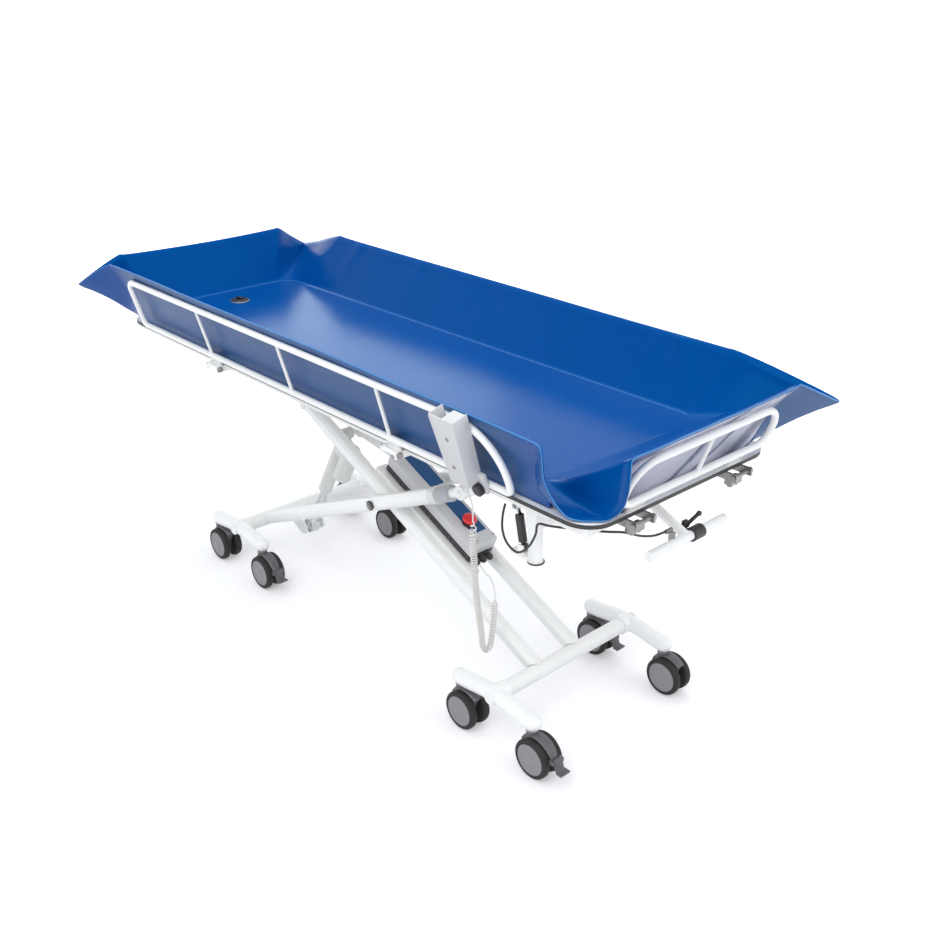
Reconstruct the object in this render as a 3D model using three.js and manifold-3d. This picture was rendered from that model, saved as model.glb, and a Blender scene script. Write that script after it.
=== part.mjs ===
// A shower trolley with a scissor lift, a tilting tub deck and folding side rails.
// Millimetres, +Z up. The origin is on the floor under the middle of the deck.
// +X points to the foot end, which carries the T-handle. -Y is the side with the handset.
import * as THREE from 'three';
import { mergeVertices } from 'three/addons/utils/BufferGeometryUtils.js';
import Module from 'manifold-3d';

const wasm = await Module();
wasm.setup();

// Fits
const gap = 0.3;
const weld = 0.001;
const overrun = 2;
const roundSides = 12;
const smallSides = 8;

// Scissor layout
const wheelBase = 1146;
const rearAxleX = -514;
const frontAxleX = rearAxleX + wheelBase;
const axleZ = 139;
const topPivotZ = 661;
const scissorY = -25;
const innerArmSpread = 67;
const outerArmSpread = 112;
const armRadius = 21;
const crossShaftRadius = 10;
const crossShaftReach = 2;
const crossHeadRadius = 7;
const topShaftRadius = 12;
const topSleeveRadius = 22;
const topSleeveLength = 38;
const armAngle = Math.atan2(topPivotZ - axleZ, wheelBase);
const armLength = Math.hypot(topPivotZ - axleZ, wheelBase);

// Outer arm upper half
const collarAlong = 900;
const collarRadius = 23;
const collarLength = 14;
const stayRadius = 13;
const bossAlong = 1016;
const bossRadius = 18;
const bossWidth = 34;
const boltRadius = 8;
const boltHeadHeight = 6;
const rollerRadius = 20.5;
const rollerAxleRadius = 9;

// Rocking feet and the cross tubes that carry them
const footY = 237.7;
const footRadius = 21;
const footLength = 290;
const footDrop = 11;
const footFlatHalf = 26;
const footBendHalf = 82;
const footBendRadius = 70;
const footBossRadius = 25;
const footBossReach = 12;
const spindleRadius = 12;
const spindleHeadRadius = 15;
const spindleHeadHeight = 3;
const crossTubeRadius = 21;

// Castors
const stemSpread = 122;
const stemRadius = 6;
const stemDepth = 22;
const neckRadius = 14;
const webShoulder = 24;
const trail = 22.5;
const wheelRadius = 50;
const wheelSides = 16;
const wheelWidth = 20;
const wheelSpread = 10.5;
const wheelBevel = 2.5;
const wheelAxleRadius = 6;
const webHalf = 9;
const webHubRadius = 15;
const fenderGap = 2;
const fenderWall = 3;
const fenderHalf = 27;
const fenderEndShare = 5 / 6;
const fenderPlainStartShare = 0.28;
const fenderPedalStartShare = 0.1;
const pedalPinRadius = 2.5;
const pedalBarrelRadius = 5.5;
const pedalHalf = 13;
const pedalEarWall = 4;
const pedalWall = 4;
const pedalDrop = 23;
const pedalToe = 22;
const pedalToeHalf = 16;

// Deck board and its frame
const boardLength = 1907.7;
const boardWidth = 607;
const boardThickness = 10;
const boardZ = 713.5;
const boardCorner = 65;
const cornerSteps = 5;
const frameHeight = 20.2;
const frameBarWidth = 30;
const crossMemberInset = 1;
const frameSideInset = 33.5;
const frameBarY = boardWidth / 2 - frameSideInset;
const frameEndInset = 23.85;
const frameEndX = boardLength / 2 - frameEndInset;
const frameMidX = [-120, 280];
const springBarStart = 691;
const springBarEnd = 776;
const handleBarInset = 68;
const handleBarEnd = frameEndX - handleBarInset;
const handleBarWidth = 74;
const handleBarStart = handleBarEnd - handleBarWidth;
const tiltLugWall = 8;
const tiltLugRadius = 20;
const hookX = -65;
const hookRadius = 7;
const hookLength = 22;

// Subframe
const channelHeight = 50;
const channelDepth = 35;
const channelWall = 4;
const channelTailX = -560;
const channelEndX = 745;
const channelClear = 7;
const crossbarLength = 30;
const crossbarHeight = 46;
const crossbarReach = 16;
const restPadHalf = 60;
const postRadius = 16;
const postDrop = 84;
const postRingRadius = 18;
const postRingHeight = 6;
const springShare = 5 / 7;
const springPlateX = 700;
const springPlateWall = 8;

// Gas spring
const springFootX = 726;
const springFootZ = 579;
const springHeadX = 706;
const springHeadZ = 672;
const springPinRadius = 4;
const springPinClear = 2;
const springEyeRadius = 8;
const springEyeHalf = 7;
const springCheekWall = 4;
const springRadius = 10;
const springBodyStart = 13;
const springBodyEnd = 74;
const springRodRadius = 5;
const springRodStart = 20;

// Side rails
const railRadius = 8;
const uprightRadius = 4.75;
const railHingeZ = 703;
const sideRailHeadInset = 120.8;
const sideRailHeadX = sideRailHeadInset - frameEndX;
const sideRailFootInset = 174;
const sideRailFootX = frameEndX - sideRailFootInset;
const sideRailReach = 15.2;
const sideRailY = boardWidth / 2 + sideRailReach;
const sideRailLift = 33.7;
const sideRailHeight = 141.8;
const sideRailLean = THREE.MathUtils.degToRad(15.6);
const sideRailHeadRadius = 30;
const sideRailFootRadius = 126;
const sideRailLowRadius = 14;
const hingeHeadX = -417.9;
const hingeFootX = 364.7;
const hingeMidX = (hingeHeadX + hingeFootX) / 2;
const hingePinRadius = 5;
const hingeBarrelRadius = 9;
const hingePlateHalf = 24;
const hingePlateWall = 7;
const hingeEarWall = 6;

// End rails
const endRailReach = 39;
const endRailX = frameEndX + endRailReach;
const endRailLift = 54;
const endRailHeight = 103;
const endRailLean = THREE.MathUtils.degToRad(19.8);
const endRailHalf = 240;
const endRailTopRadius = 62;
const endRailLowRadius = 34;
const endHingeY = 165;

// Tub liner
const tubFloorZ = 750;
const tubFloorHeadInset = 2;
const tubFloorHeadX = tubFloorHeadInset - frameEndX;
const tubFloorFootInset = 135;
const tubFloorFootX = frameEndX - tubFloorFootInset;
const tubFloorSideInset = 36.5;
const tubFloorHalf = boardWidth / 2 - tubFloorSideInset;
const tubRimHeadReach = 15;
const tubRimHeadX = -endRailX - tubRimHeadReach;
const tubRimFootReach = 59;
const tubRimFootX = endRailX + tubRimFootReach;
const tubRimReach = 5.17;
const tubRimHalf = sideRailY + sideRailHeight * Math.sin(sideRailLean) + tubRimReach;
const tubHeadRise = 54.09;
const tubRimHeadZ = railHingeZ + endRailLift + endRailHeight * Math.cos(endRailLean) + tubHeadRise;
const tubRimFall = 11;
const tubRimFootZ = tubRimHeadZ - tubRimFall;
const tubWall = 6;
const tubFloorCorner = 60;
const tubRimCorner = 110;
const wingTipReachX = 10.6;
const wingTipX = tubRimFootX + wingTipReachX;
const wingTipReachY = 50.5;
const wingTipY = tubRimHalf + wingTipReachY;
const wingTipZ = 832;
const wingRootX = 90;
const wingRootY = 75;
const wingWall = 8;
const openCornerX = 850;
const openCornerY = 285;
const drainX = -803;
const drainRadius = 26;
const drainHeight = 5;
const drainGripWidth = 8;
const drainGripHeight = 7;

// Control box on the inner arms, placed along them from the front axle
const boxLow = 335;
const boxHigh = 700;
const boxNearY = -67;
const boxFarY = 18;
const boxBaseRise = 35;
const boxRise = 55;
const boxHeight = 42;
const saddleHalf = 14;
const saddleLow = 400;
const saddleHigh = 590;
const plugRadius = 8;
const plugLength = 26;
const plugPitch = 22;
const plugY = -52;
const plugCount = 3;
const trayLow = 300;
const trayHigh = 720;
const trayRise = 15;
const trayHeight = 16;
const trayWidth = 21;
const stopAlong = 405;
const stopY = -30;
const stopBaseRadius = 16;
const stopBaseHeight = 6;
const stopHeadRadius = 19;
const stopHeadHeight = 13;
const stopStemRadius = 8;
const stopStroke = 5;

// Lift actuator
const crankX = 74;
const crankZ = -36;
const actuatorHeadX = -228;
const actuatorHeadZ = 480;
const actuatorPinRadius = 6;
const actuatorPinNear = -71;
const actuatorPinFar = 14;
const actuatorSlack = 12;
const actuatorLugWall = 5;
const actuatorLugHalf = 14;
const crankCheekWall = 6;
const crankCheekSpread = 32;
const crankCheekRadius = 20;
const actuatorTubeRadius = 21;
const actuatorTubeLength = 252;
const actuatorRodRadius = 12;
const actuatorRodLength = 298;
const actuatorEyeRadius = 17;
const motorRadius = 27;
const motorLength = 118;
const motorStart = 26;
const motorOffset = 44;
const bracketWall = 6;
const bracketBoltRadius = 8;
const bracketWidth = 235;

// T-handle and its release lever
const handleReach = 31.6;
const handleX = frameEndX + handleReach;
const handleZ = 606.8;
const handleHalf = 129;
const handleRadius = 11;
const handleRootInset = 7;
const handleRootX = handleBarStart + handleRootInset;
const handleRootDrop = 17.46;
const handlePlateHalf = 28;
const handlePlateWall = 9;
const clampRadius = 16;
const clampNearY = 12;
const clampFarY = 46;
const leverPinRadius = 2.5;
const leverOffset = 24;
const leverY = 20;
const leverRise = 16;
const leverEyeRadius = 7;
const leverWidth = 6;
const leverLength = 42;
const leverBallRadius = 6.5;
const leverAngle = THREE.MathUtils.degToRad(17);
const leverEarWall = 6;
const adjusterY = -36;
const adjusterRadius = 5;
const adjusterLength = 20;
const adjusterRise = 25;
const adjusterStalk = 10;

// Handset, its holder and the clamp, placed in the plane of the near side rail
const holderNearX = 608;
const holderFarX = 684;
const holderLow = 16;
const holderHigh = 175;
const holderOut = 45;
const holderWall = 3;
const holderTaper = 20;
const clampBlockX = 660;
const clampBlockEndX = 699;
const clampBlockLow = -14;
const clampBlockHigh = 34;
const clampBlockWall = 10;
const knobX = 683;
const knobRise = -1.3;
const knobRadius = 15;
const knobHeight = 14;
const knobStemRadius = 4;
const knobStemLength = 7;
const knobLobes = 12;
const handsetWidth = 47;
const handsetLow = 24;
const handsetHigh = 163;
const handsetDepth = 26;
const handsetBevel = 3;
const reliefRadius = 6;
const reliefLength = 16;

// Cords
const curlCount = 48;
const curlSteps = 8;
const curlSides = 5;
const curlRadius = 5.2;
const cordRadius = 1.65;
const leadRadius = 1.65;
const cableRadius = 2.5;
const cordSides = 8;
const curlRoute = [
  [653.7, -350.3, 732], [655, -345, 712], [659, -338, 684], [651, -328, 635], [640, -318, 586], [629, -305, 528],
  [616, -290, 466], [599, -268, 392], [577, -240, 320], [549, -208, 256],
  [527, -184, 204], [519, -167, 177], [520, -155, 178], [523, -150, 206],
  [525, -146, 256], [525, -142, 312],
];
const leadRoute = [
  [525, -141.7, 315.7], [521, -139, 332], [500, -126, 341], [465, -103, 335],
  [430, -80, 315], [405, -60, 299], [388, -53, 302], [370.7, -52, 309.7],
];
const cableRoute = [
  [945, -57, 632], [942, -90, 634], [940, -132, 648], [938, -180, 672], [926, -222, 684],
  [890, -258, 687], [840, -290, 687], [806, -292, 679], [797, -289, 651], [776, -288, 613],
  [745, -288, 588], [713, -287, 596], [697, -286, 622], [692, -281, 652], [690, -272, 676],
];

// Colours
const material = (color, roughness, metalness = 0) =>
  new THREE.MeshStandardMaterial({ color, roughness, metalness });
const white = material(0xe9e9e6, 0.42);
const boardWhite = material(0xf2f2f0, 0.35);
const greyPlastic = material(0x565a5e, 0.55);
const tyreGrey = material(0x46494c, 0.75);
const boxGrey = material(0xc9cccd, 0.5);
const black = material(0x1f2123, 0.5);
const steel = material(0xb9bcbf, 0.32, 0.9);
const cobalt = material(0x0054a6, 0.5);
const red = material(0xd02626, 0.4);
const zinc = material(0x9da1a4, 0.45, 0.8);

// Small tools
const at = (x, y, z) => new THREE.Vector3(x, y, z);

function solid(geometry) {
  geometry.deleteAttribute('normal');
  geometry.deleteAttribute('uv');
  const merged = mergeVertices(geometry, weld);
  const vertProperties = Float32Array.from(merged.attributes.position.array);
  const triVerts = Uint32Array.from(merged.index.array);
  return new wasm.Manifold(new wasm.Mesh({ numProp: 3, vertProperties, triVerts }));
}

const join = (...pieces) => pieces.reduce((whole, piece) => whole.add(piece));
const cut = (whole, ...tools) => tools.reduce((rest, tool) => rest.subtract(tool), whole);

function box(x0, x1, y0, y1, z0, z1) {
  const geometry = new THREE.BoxGeometry(x1 - x0, y1 - y0, z1 - z0);
  geometry.translate((x0 + x1) / 2, (y0 + y1) / 2, (z0 + z1) / 2);
  return solid(geometry);
}

function rod(from, to, radius, sides = roundSides, endRadius = radius) {
  const axis = to.clone().sub(from);
  const geometry = new THREE.CylinderGeometry(endRadius, radius, axis.length(), sides);
  geometry.translate(0, axis.length() / 2, 0);
  const turn = new THREE.Quaternion().setFromUnitVectors(at(0, 1, 0), axis.normalize());
  geometry.applyQuaternion(turn);
  geometry.translate(from.x, from.y, from.z);
  return solid(geometry);
}

const pinX = (x0, x1, y, z, radius, sides) => rod(at(x0, y, z), at(x1, y, z), radius, sides);
const pinY = (x, y0, y1, z, radius, sides) => rod(at(x, y0, z), at(x, y1, z), radius, sides);
const pinZ = (x, y, z0, z1, radius, sides) => rod(at(x, y, z0), at(x, y, z1), radius, sides);

// A hole for a pin of this radius, which clears the pin's corners when it turns
const holeRadius = (radius, sides) => (radius + gap) / Math.cos(Math.PI / sides);
const holeX = (x0, x1, y, z, radius, sides = roundSides) =>
  pinX(x0 - overrun, x1 + overrun, y, z, holeRadius(radius, sides), sides);
const holeY = (x, y0, y1, z, radius, sides = roundSides) =>
  pinY(x, y0 - overrun, y1 + overrun, z, holeRadius(radius, sides), sides);
const holeZ = (x, y, z0, z1, radius, sides = roundSides) =>
  pinZ(x, y, z0 - overrun, z1 + overrun, holeRadius(radius, sides), sides);

function ball(centre, radius, sides = smallSides) {
  const geometry = new THREE.SphereGeometry(radius, sides, sides / 2);
  geometry.translate(centre.x, centre.y, centre.z);
  return solid(geometry);
}

// A bar of rectangular section. Its width lies along the across direction.
function beam(from, to, across, width, depth) {
  const long = to.clone().sub(from);
  const geometry = new THREE.BoxGeometry(long.length(), width, depth);
  const middle = from.clone().add(to).multiplyScalar(0.5);
  long.normalize();
  const up = long.clone().cross(across).normalize();
  geometry.applyMatrix4(new THREE.Matrix4().makeBasis(long, across, up).setPosition(middle));
  return solid(geometry);
}

function extruded(points, depth) {
  const shape = new THREE.Shape(points.map(([a, b]) => new THREE.Vector2(a, b)));
  return new THREE.ExtrudeGeometry(shape, { depth, bevelEnabled: false });
}

// Plates from an outline in the XY, XZ or YZ plane
function plateZ(points, z0, z1) {
  return solid(extruded(points, z1 - z0).translate(0, 0, z0));
}

function plateY(points, y0, y1) {
  return solid(extruded(points, y1 - y0).rotateX(Math.PI / 2).translate(0, y1, 0));
}

function plateX(points, x0, x1) {
  const turn = new THREE.Matrix4().makeBasis(at(0, 1, 0), at(0, 0, 1), at(1, 0, 0));
  return solid(extruded(points, x1 - x0).applyMatrix4(turn).translate(x0, 0, 0));
}

// A path whose stations are given one by one
class Stations extends THREE.Curve {
  constructor(points) {
    super();
    this.points = points;
  }

  getPointAt(share, target = at(0, 0, 0)) {
    return target.copy(this.points[Math.round(share * (this.points.length - 1))]);
  }

  getTangentAt(share, target = at(0, 0, 0)) {
    const last = this.points.length - 1;
    const index = Math.round(share * last);
    const before = this.points[Math.max(index - 1, 0)];
    const after = this.points[Math.min(index + 1, last)];
    return target.copy(after).sub(before).normalize();
  }
}

function tube(points, radius, sides = smallSides) {
  const ring = Array.from({ length: sides }, (_, k) => {
    const turn = (k * 2 * Math.PI) / sides;
    return new THREE.Vector2(radius * Math.cos(turn), radius * Math.sin(turn));
  });
  return solid(new THREE.ExtrudeGeometry(new THREE.Shape(ring), {
    steps: points.length - 1,
    extrudePath: new Stations(points),
  }));
}

// The stations of a path with round corners
function rounded(points, radii, steps) {
  const stations = [points[0]];
  for (let index = 1; index < points.length - 1; index += 1) {
    const corner = points[index];
    const back = points[index - 1].clone().sub(corner).normalize();
    const ahead = points[index + 1].clone().sub(corner).normalize();
    const half = back.angleTo(ahead) / 2;
    const radius = radii[index - 1];
    const reach = radius / Math.tan(half);
    const start = corner.clone().addScaledVector(back, reach);
    const middle = back.clone().add(ahead).normalize().multiplyScalar(radius / Math.sin(half)).add(corner);
    const axis = ahead.clone().cross(back).normalize();
    for (let step = 0; step <= steps; step += 1) {
      const arm = start.clone().sub(middle);
      stations.push(arm.applyAxisAngle(axis, ((Math.PI - 2 * half) * step) / steps).add(middle));
    }
  }
  stations.push(points[points.length - 1]);
  return stations;
}

function roundedRectangle(x0, x1, y0, y1, radius, steps = cornerSteps) {
  const corners = [[x1 - radius, y1 - radius], [x0 + radius, y1 - radius],
    [x0 + radius, y0 + radius], [x1 - radius, y0 + radius]];
  return corners.flatMap(([x, y], quarter) => Array.from({ length: steps + 1 }, (_, k) => {
    const turn = ((quarter + k / steps) * Math.PI) / 2;
    return [x + radius * Math.cos(turn), y + radius * Math.sin(turn)];
  }));
}

// A block between two outlines with as many points each, at the heights that levelAt gives
function loft(lower, lowerZ, upper, levelAt) {
  const count = lower.length;
  const points = [...lower.map(([x, y]) => at(x, y, lowerZ)), ...upper.map(([x, y]) => at(x, y, levelAt(x)))];
  const index = [];
  for (let k = 0; k < count; k += 1) {
    const next = (k + 1) % count;
    index.push(k, next, count + next, k, count + next, count + k);
    if (k > 0 && next > 0) index.push(0, next, k, count, count + k, count + next);
  }
  const geometry = new THREE.BufferGeometry().setFromPoints(points);
  geometry.setIndex(index);
  return solid(geometry);
}

const trolley = new THREE.Group();

function place(parent, name, whole, look) {
  const faces = whole.getMesh();
  const geometry = new THREE.BufferGeometry();
  geometry.setAttribute('position', new THREE.BufferAttribute(faces.vertProperties, 3));
  geometry.setIndex(new THREE.BufferAttribute(faces.triVerts, 1));
  geometry.computeVertexNormals();
  const mesh = new THREE.Mesh(geometry, look);
  mesh.name = name;
  parent.add(mesh);
  return mesh;
}

function group(x, y, z) {
  const holder = new THREE.Group();
  holder.position.set(x, y, z);
  trolley.add(holder);
  return holder;
}

const sides = [['near', -1], ['far', 1]];

// Castors: a housing on a stem, and two wheels on one axle through its web
const footBottomZ = axleZ - footDrop - footRadius;
const neckTopZ = footBottomZ - gap;
const wheelCornerRadius = wheelRadius / Math.cos(Math.PI / wheelSides);
const neckLowZ = wheelRadius + wheelCornerRadius + gap;
const fenderInner = wheelCornerRadius + fenderGap;
const fenderOuter = fenderInner + fenderWall;
const fenderMid = fenderInner + fenderWall / 2;

function fenderOutline(startShare) {
  const steps = 5;
  const ring = (radius, backwards) => Array.from({ length: steps + 1 }, (_, k) => {
    const share = (backwards ? steps - k : k) / steps;
    const turn = Math.PI * (startShare + (fenderEndShare - startShare) * share);
    return [trail + radius * Math.cos(turn), wheelRadius + radius * Math.sin(turn)];
  });
  return [...ring(fenderInner, false), ...ring(fenderOuter, true)];
}

const pedalPivotTurn = Math.PI * fenderPedalStartShare;
const pedalPivotReach = fenderOuter + pedalBarrelRadius + gap;
const pedalPivotX = trail + pedalPivotReach * Math.cos(pedalPivotTurn);
const pedalPivotZ = wheelRadius + pedalPivotReach * Math.sin(pedalPivotTurn);

function webOutline() {
  const hubLow = wheelRadius - webHubRadius;
  return [
    [-neckRadius, neckTopZ], [-neckRadius, neckTopZ - webShoulder], [trail - webHubRadius, wheelRadius],
    [trail - webHubRadius / 2, hubLow], [trail + webHubRadius / 2, hubLow],
    [trail + webHubRadius, wheelRadius], [trail + webHubRadius, neckTopZ - webShoulder],
    [neckRadius, neckTopZ],
  ];
}

function castorHousing(hasPedal) {
  const startShare = hasPedal ? fenderPedalStartShare : fenderPlainStartShare;
  let housing = join(
    pinZ(0, 0, neckLowZ, neckTopZ, neckRadius),
    pinZ(0, 0, neckLowZ, footBottomZ + stemDepth - gap, stemRadius, smallSides),
    plateY(webOutline(), -webHalf, webHalf),
    plateY(fenderOutline(startShare), -fenderHalf, fenderHalf),
  );
  if (hasPedal) {
    for (const [, side] of sides) {
      const inner = side * (pedalHalf + gap);
      const outer = side * (pedalHalf + gap + pedalEarWall);
      const foot = at(trail + fenderMid * Math.cos(pedalPivotTurn), 0, wheelRadius + fenderMid * Math.sin(pedalPivotTurn));
      const hub = at(pedalPivotX, 0, pedalPivotZ);
      const middle = (inner + outer) / 2;
      foot.y = middle;
      hub.y = middle;
      housing = join(
        housing,
        beam(foot, hub, at(0, 1, 0), pedalEarWall, 2 * pedalPinRadius + fenderWall),
        pinY(pedalPivotX, Math.min(inner, outer), Math.max(inner, outer), pedalPivotZ, pedalBarrelRadius, smallSides),
      );
    }
    const pinReach = pedalHalf + gap + pedalEarWall / 2;
    housing = join(housing, pinY(pedalPivotX, -pinReach, pinReach, pedalPivotZ, pedalPinRadius, smallSides));
  }
  return cut(housing, holeY(trail, -webHalf, webHalf, wheelRadius, wheelAxleRadius, smallSides));
}

function castorWheels() {
  const outer = wheelSpread + wheelWidth;
  const half = [
    [0, outer], [wheelCornerRadius - wheelBevel, outer], [wheelCornerRadius, outer - wheelBevel],
    [wheelCornerRadius, wheelSpread], [wheelAxleRadius, wheelSpread],
  ];
  const profile = [...half.map(([r, y]) => [r, -y]), ...[...half].reverse()];
  const geometry = new THREE.LatheGeometry(profile.map(([r, y]) => new THREE.Vector2(r, y)), wheelSides);
  geometry.rotateY(Math.PI / wheelSides);
  return solid(geometry).translate([trail, 0, 0]);
}

function brakePedal() {
  const hub = at(pedalPivotX, 0, pedalPivotZ);
  const toeZ = pedalPivotZ - pedalDrop;
  const bend = at(pedalPivotX + pedalBarrelRadius, 0, toeZ);
  const pedal = join(
    pinY(pedalPivotX, -pedalHalf, pedalHalf, pedalPivotZ, pedalBarrelRadius),
    beam(hub, bend, at(0, 1, 0), 2 * pedalHalf, pedalWall),
    box(bend.x - pedalWall / 2, bend.x + pedalToe, -pedalToeHalf, pedalToeHalf, toeZ - pedalWall / 2, toeZ + pedalWall / 2),
  );
  return cut(pedal, holeY(pedalPivotX, -pedalHalf, pedalHalf, pedalPivotZ, pedalPinRadius, smallSides));
}

// Rocking feet

function foot(side) {
  const reach = footLength / 2 - footRadius;
  const path = [
    at(-reach, 0, -footDrop), at(-footBendHalf, 0, -footDrop), at(-footFlatHalf, 0, 0),
    at(footFlatHalf, 0, 0), at(footBendHalf, 0, -footDrop), at(reach, 0, -footDrop),
  ];
  const bossEnd = -side * (footRadius + footBossReach);
  const outerEnd = side * footRadius;
  let beamTube = join(
    tube(rounded(path, Array(4).fill(footBendRadius), 1), footRadius, roundSides),
    pinY(0, 0, bossEnd, 0, footBossRadius),
  );
  for (const end of [-1, 1]) {
    const shoulder = at(end * reach, 0, -footDrop);
    const tip = at(end * (footLength / 2), 0, -footDrop);
    beamTube = join(beamTube, rod(shoulder, tip, footRadius, roundSides, footRadius / 2));
  }
  const low = -footDrop - footRadius;
  return cut(
    beamTube,
    holeY(0, Math.min(bossEnd, outerEnd), Math.max(bossEnd, outerEnd), 0, spindleRadius),
    holeZ(-stemSpread, 0, low, low + stemDepth, stemRadius, smallSides),
    holeZ(stemSpread, 0, low, low + stemDepth, stemRadius, smallSides),
  );
}

const brakedCastors = ['rear_near_foot', 'front_near_foot', 'rear_far_head', 'front_far_head'];

for (const [axle, axleX] of [['rear', rearAxleX], ['front', frontAxleX]]) {
  for (const [sideName, side] of sides) {
    place(group(axleX, side * footY, axleZ), `${axle}_foot_${sideName}`, foot(side), white);
    for (const [endName, end] of [['head', -1], ['foot', 1]]) {
      const key = `${axle}_${sideName}_${endName}`;
      const braked = brakedCastors.includes(key);
      const castor = group(axleX + end * stemSpread, side * footY, 0);
      place(castor, `castor_${key}_housing`, castorHousing(braked), greyPlastic);
      place(castor, `castor_${key}_wheels`, castorWheels(), tyreGrey).position.z = wheelRadius;
      if (braked) place(castor, `brake_pedal_${axle}_${sideName}`, brakePedal(), greyPlastic);
    }
  }
}

// Cross tubes with spindles for the feet
const crossTubeEnd = footY - footRadius - footBossReach - gap;
const spindleEnd = footY + footRadius + gap;

function crossTube() {
  const headEnd = spindleEnd + spindleHeadHeight;
  return join(
    pinY(0, -crossTubeEnd, crossTubeEnd, 0, crossTubeRadius),
    pinY(0, -headEnd, headEnd, 0, spindleRadius),
    pinY(0, -headEnd, -spindleEnd, 0, spindleHeadRadius),
    pinY(0, spindleEnd, headEnd, 0, spindleHeadRadius),
  );
}

// The crank on the rear cross tube carries the lower pin of the actuator
function crank() {
  let whole = pinY(crankX, actuatorPinNear, actuatorPinFar, crankZ, actuatorPinRadius, smallSides);
  for (const side of [-1, 1]) {
    const inner = scissorY + side * (crankCheekSpread - crankCheekWall / 2);
    const outer = scissorY + side * (crankCheekSpread + crankCheekWall / 2);
    const low = Math.min(inner, outer);
    const high = Math.max(inner, outer);
    const middle = (low + high) / 2;
    whole = join(
      whole,
      pinY(crankX, low, high, crankZ, crankCheekRadius),
      beam(at(0, middle, 0), at(crankX, middle, crankZ), at(0, 1, 0), crankCheekWall, 2 * crankCheekRadius),
    );
  }
  return whole;
}

place(group(rearAxleX, 0, axleZ), 'rear_cross_tube', join(crossTube(), crank()), white);
place(group(frontAxleX, 0, axleZ), 'front_cross_tube', crossTube(), white);

// Outer arms: tube, collar, stay, boss and the roller that runs in the subframe channel
const outerFrame = group(rearAxleX, 0, axleZ);
outerFrame.rotation.y = -armAngle;
const innerFrame = group(rearAxleX, 0, topPivotZ);
innerFrame.rotation.y = armAngle;
const crossing = armLength / 2;
const channelNearOpenY = scissorY - outerArmSpread - armRadius - channelClear;
const channelFarOpenY = scissorY + outerArmSpread + armRadius + channelClear;
const channelNearY = channelNearOpenY - channelDepth;
const springY = channelNearY - (frameBarY + channelNearY) * springShare;
const crossbarNearY = springY - crossbarReach;

function outerArm(side) {
  const y = scissorY + side * outerArmSpread;
  const openY = side < 0 ? channelNearOpenY : channelFarOpenY;
  const rollerIn = openY + side * gap;
  const rollerOut = openY + side * (channelDepth - channelWall - 2 * gap);
  const bossHalf = bossWidth / 2;
  const bossBoltEnd = y - bossHalf - boltHeadHeight;
  const arm = join(
    rod(at(0, y, 0), at(collarAlong, y, 0), armRadius),
    rod(at(collarAlong, y, 0), at(collarAlong + collarLength, y, 0), collarRadius),
    rod(at(collarAlong, y, 0), at(armLength, y, 0), stayRadius),
    pinY(bossAlong, y - bossHalf, y + bossHalf, 0, bossRadius),
    pinY(bossAlong, bossBoltEnd, y, 0, boltRadius, 6),
    pinY(armLength, y - side * stayRadius, rollerOut, 0, rollerAxleRadius),
    ball(at(armLength, y, 0), stayRadius + gap),
    pinY(armLength, rollerIn, rollerOut, 0, rollerRadius),
  );
  return cut(
    arm,
    holeY(0, y - armRadius, y + armRadius, 0, crossTubeRadius),
    holeY(crossing, y - armRadius, y + armRadius, 0, crossShaftRadius),
  );
}

function crossShaft() {
  const nearEnd = scissorY - outerArmSpread - armRadius - crossShaftReach;
  const farEnd = scissorY + outerArmSpread + armRadius + crossShaftReach;
  const head = crossHeadRadius + crossShaftReach;
  return join(
    pinY(crossing, nearEnd, farEnd, 0, crossShaftRadius),
    pinY(crossing, nearEnd - crossShaftReach, nearEnd, 0, head),
    pinY(crossing, farEnd, farEnd + crossShaftReach, 0, head),
  );
}

for (const [sideName, side] of sides) {
  place(outerFrame, `outer_arm_${sideName}`, outerArm(side), white);
}
place(outerFrame, 'cross_pivot_shaft', crossShaft(), zinc);

// Inner arms, from the top pivot down to the front cross tube
const trayStart = armLength - trayHigh;
const trayEnd = armLength - trayLow;

function innerArm(side) {
  const y = scissorY + side * innerArmSpread;
  const sleeve = topSleeveLength / 2;
  let arm = join(
    rod(at(0, y, 0), at(armLength, y, 0), armRadius),
    pinY(0, y - sleeve, y + sleeve, 0, topSleeveRadius),
  );
  if (side < 0) {
    arm = join(arm, box(trayStart, trayEnd, y + armRadius / 2, y + armRadius / 2 + trayWidth + armRadius / 2,
      trayRise, trayRise + trayHeight));
  }
  return cut(
    arm,
    holeY(0, y - armRadius - sleeve, y + armRadius + sleeve, 0, topShaftRadius),
    holeY(crossing, y - armRadius, y + armRadius, 0, crossShaftRadius),
    holeY(armLength, y - armRadius, y + armRadius, 0, crossTubeRadius),
  );
}

for (const [sideName, side] of sides) {
  place(innerFrame, `inner_arm_${sideName}`, innerArm(side), white);
}

// Actuator bracket between the inner arms
const nearArmSideY = scissorY - innerArmSpread + armRadius;
const farArmSideY = scissorY + innerArmSpread - armRadius;
const headFromPivot = at(actuatorHeadX - rearAxleX, 0, actuatorHeadZ - topPivotZ);
const headAlong = headFromPivot.x * Math.cos(armAngle) - headFromPivot.z * Math.sin(armAngle);
const headOffset = headFromPivot.x * Math.sin(armAngle) + headFromPivot.z * Math.cos(armAngle);
const bracketShares = [
  [-0.3, 1], [0.7, 1], [0.7, 0.84], [0.12, 0.2], [0.06, 0], [-0.12, -0.1], [-0.3, 0.12],
];

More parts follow.
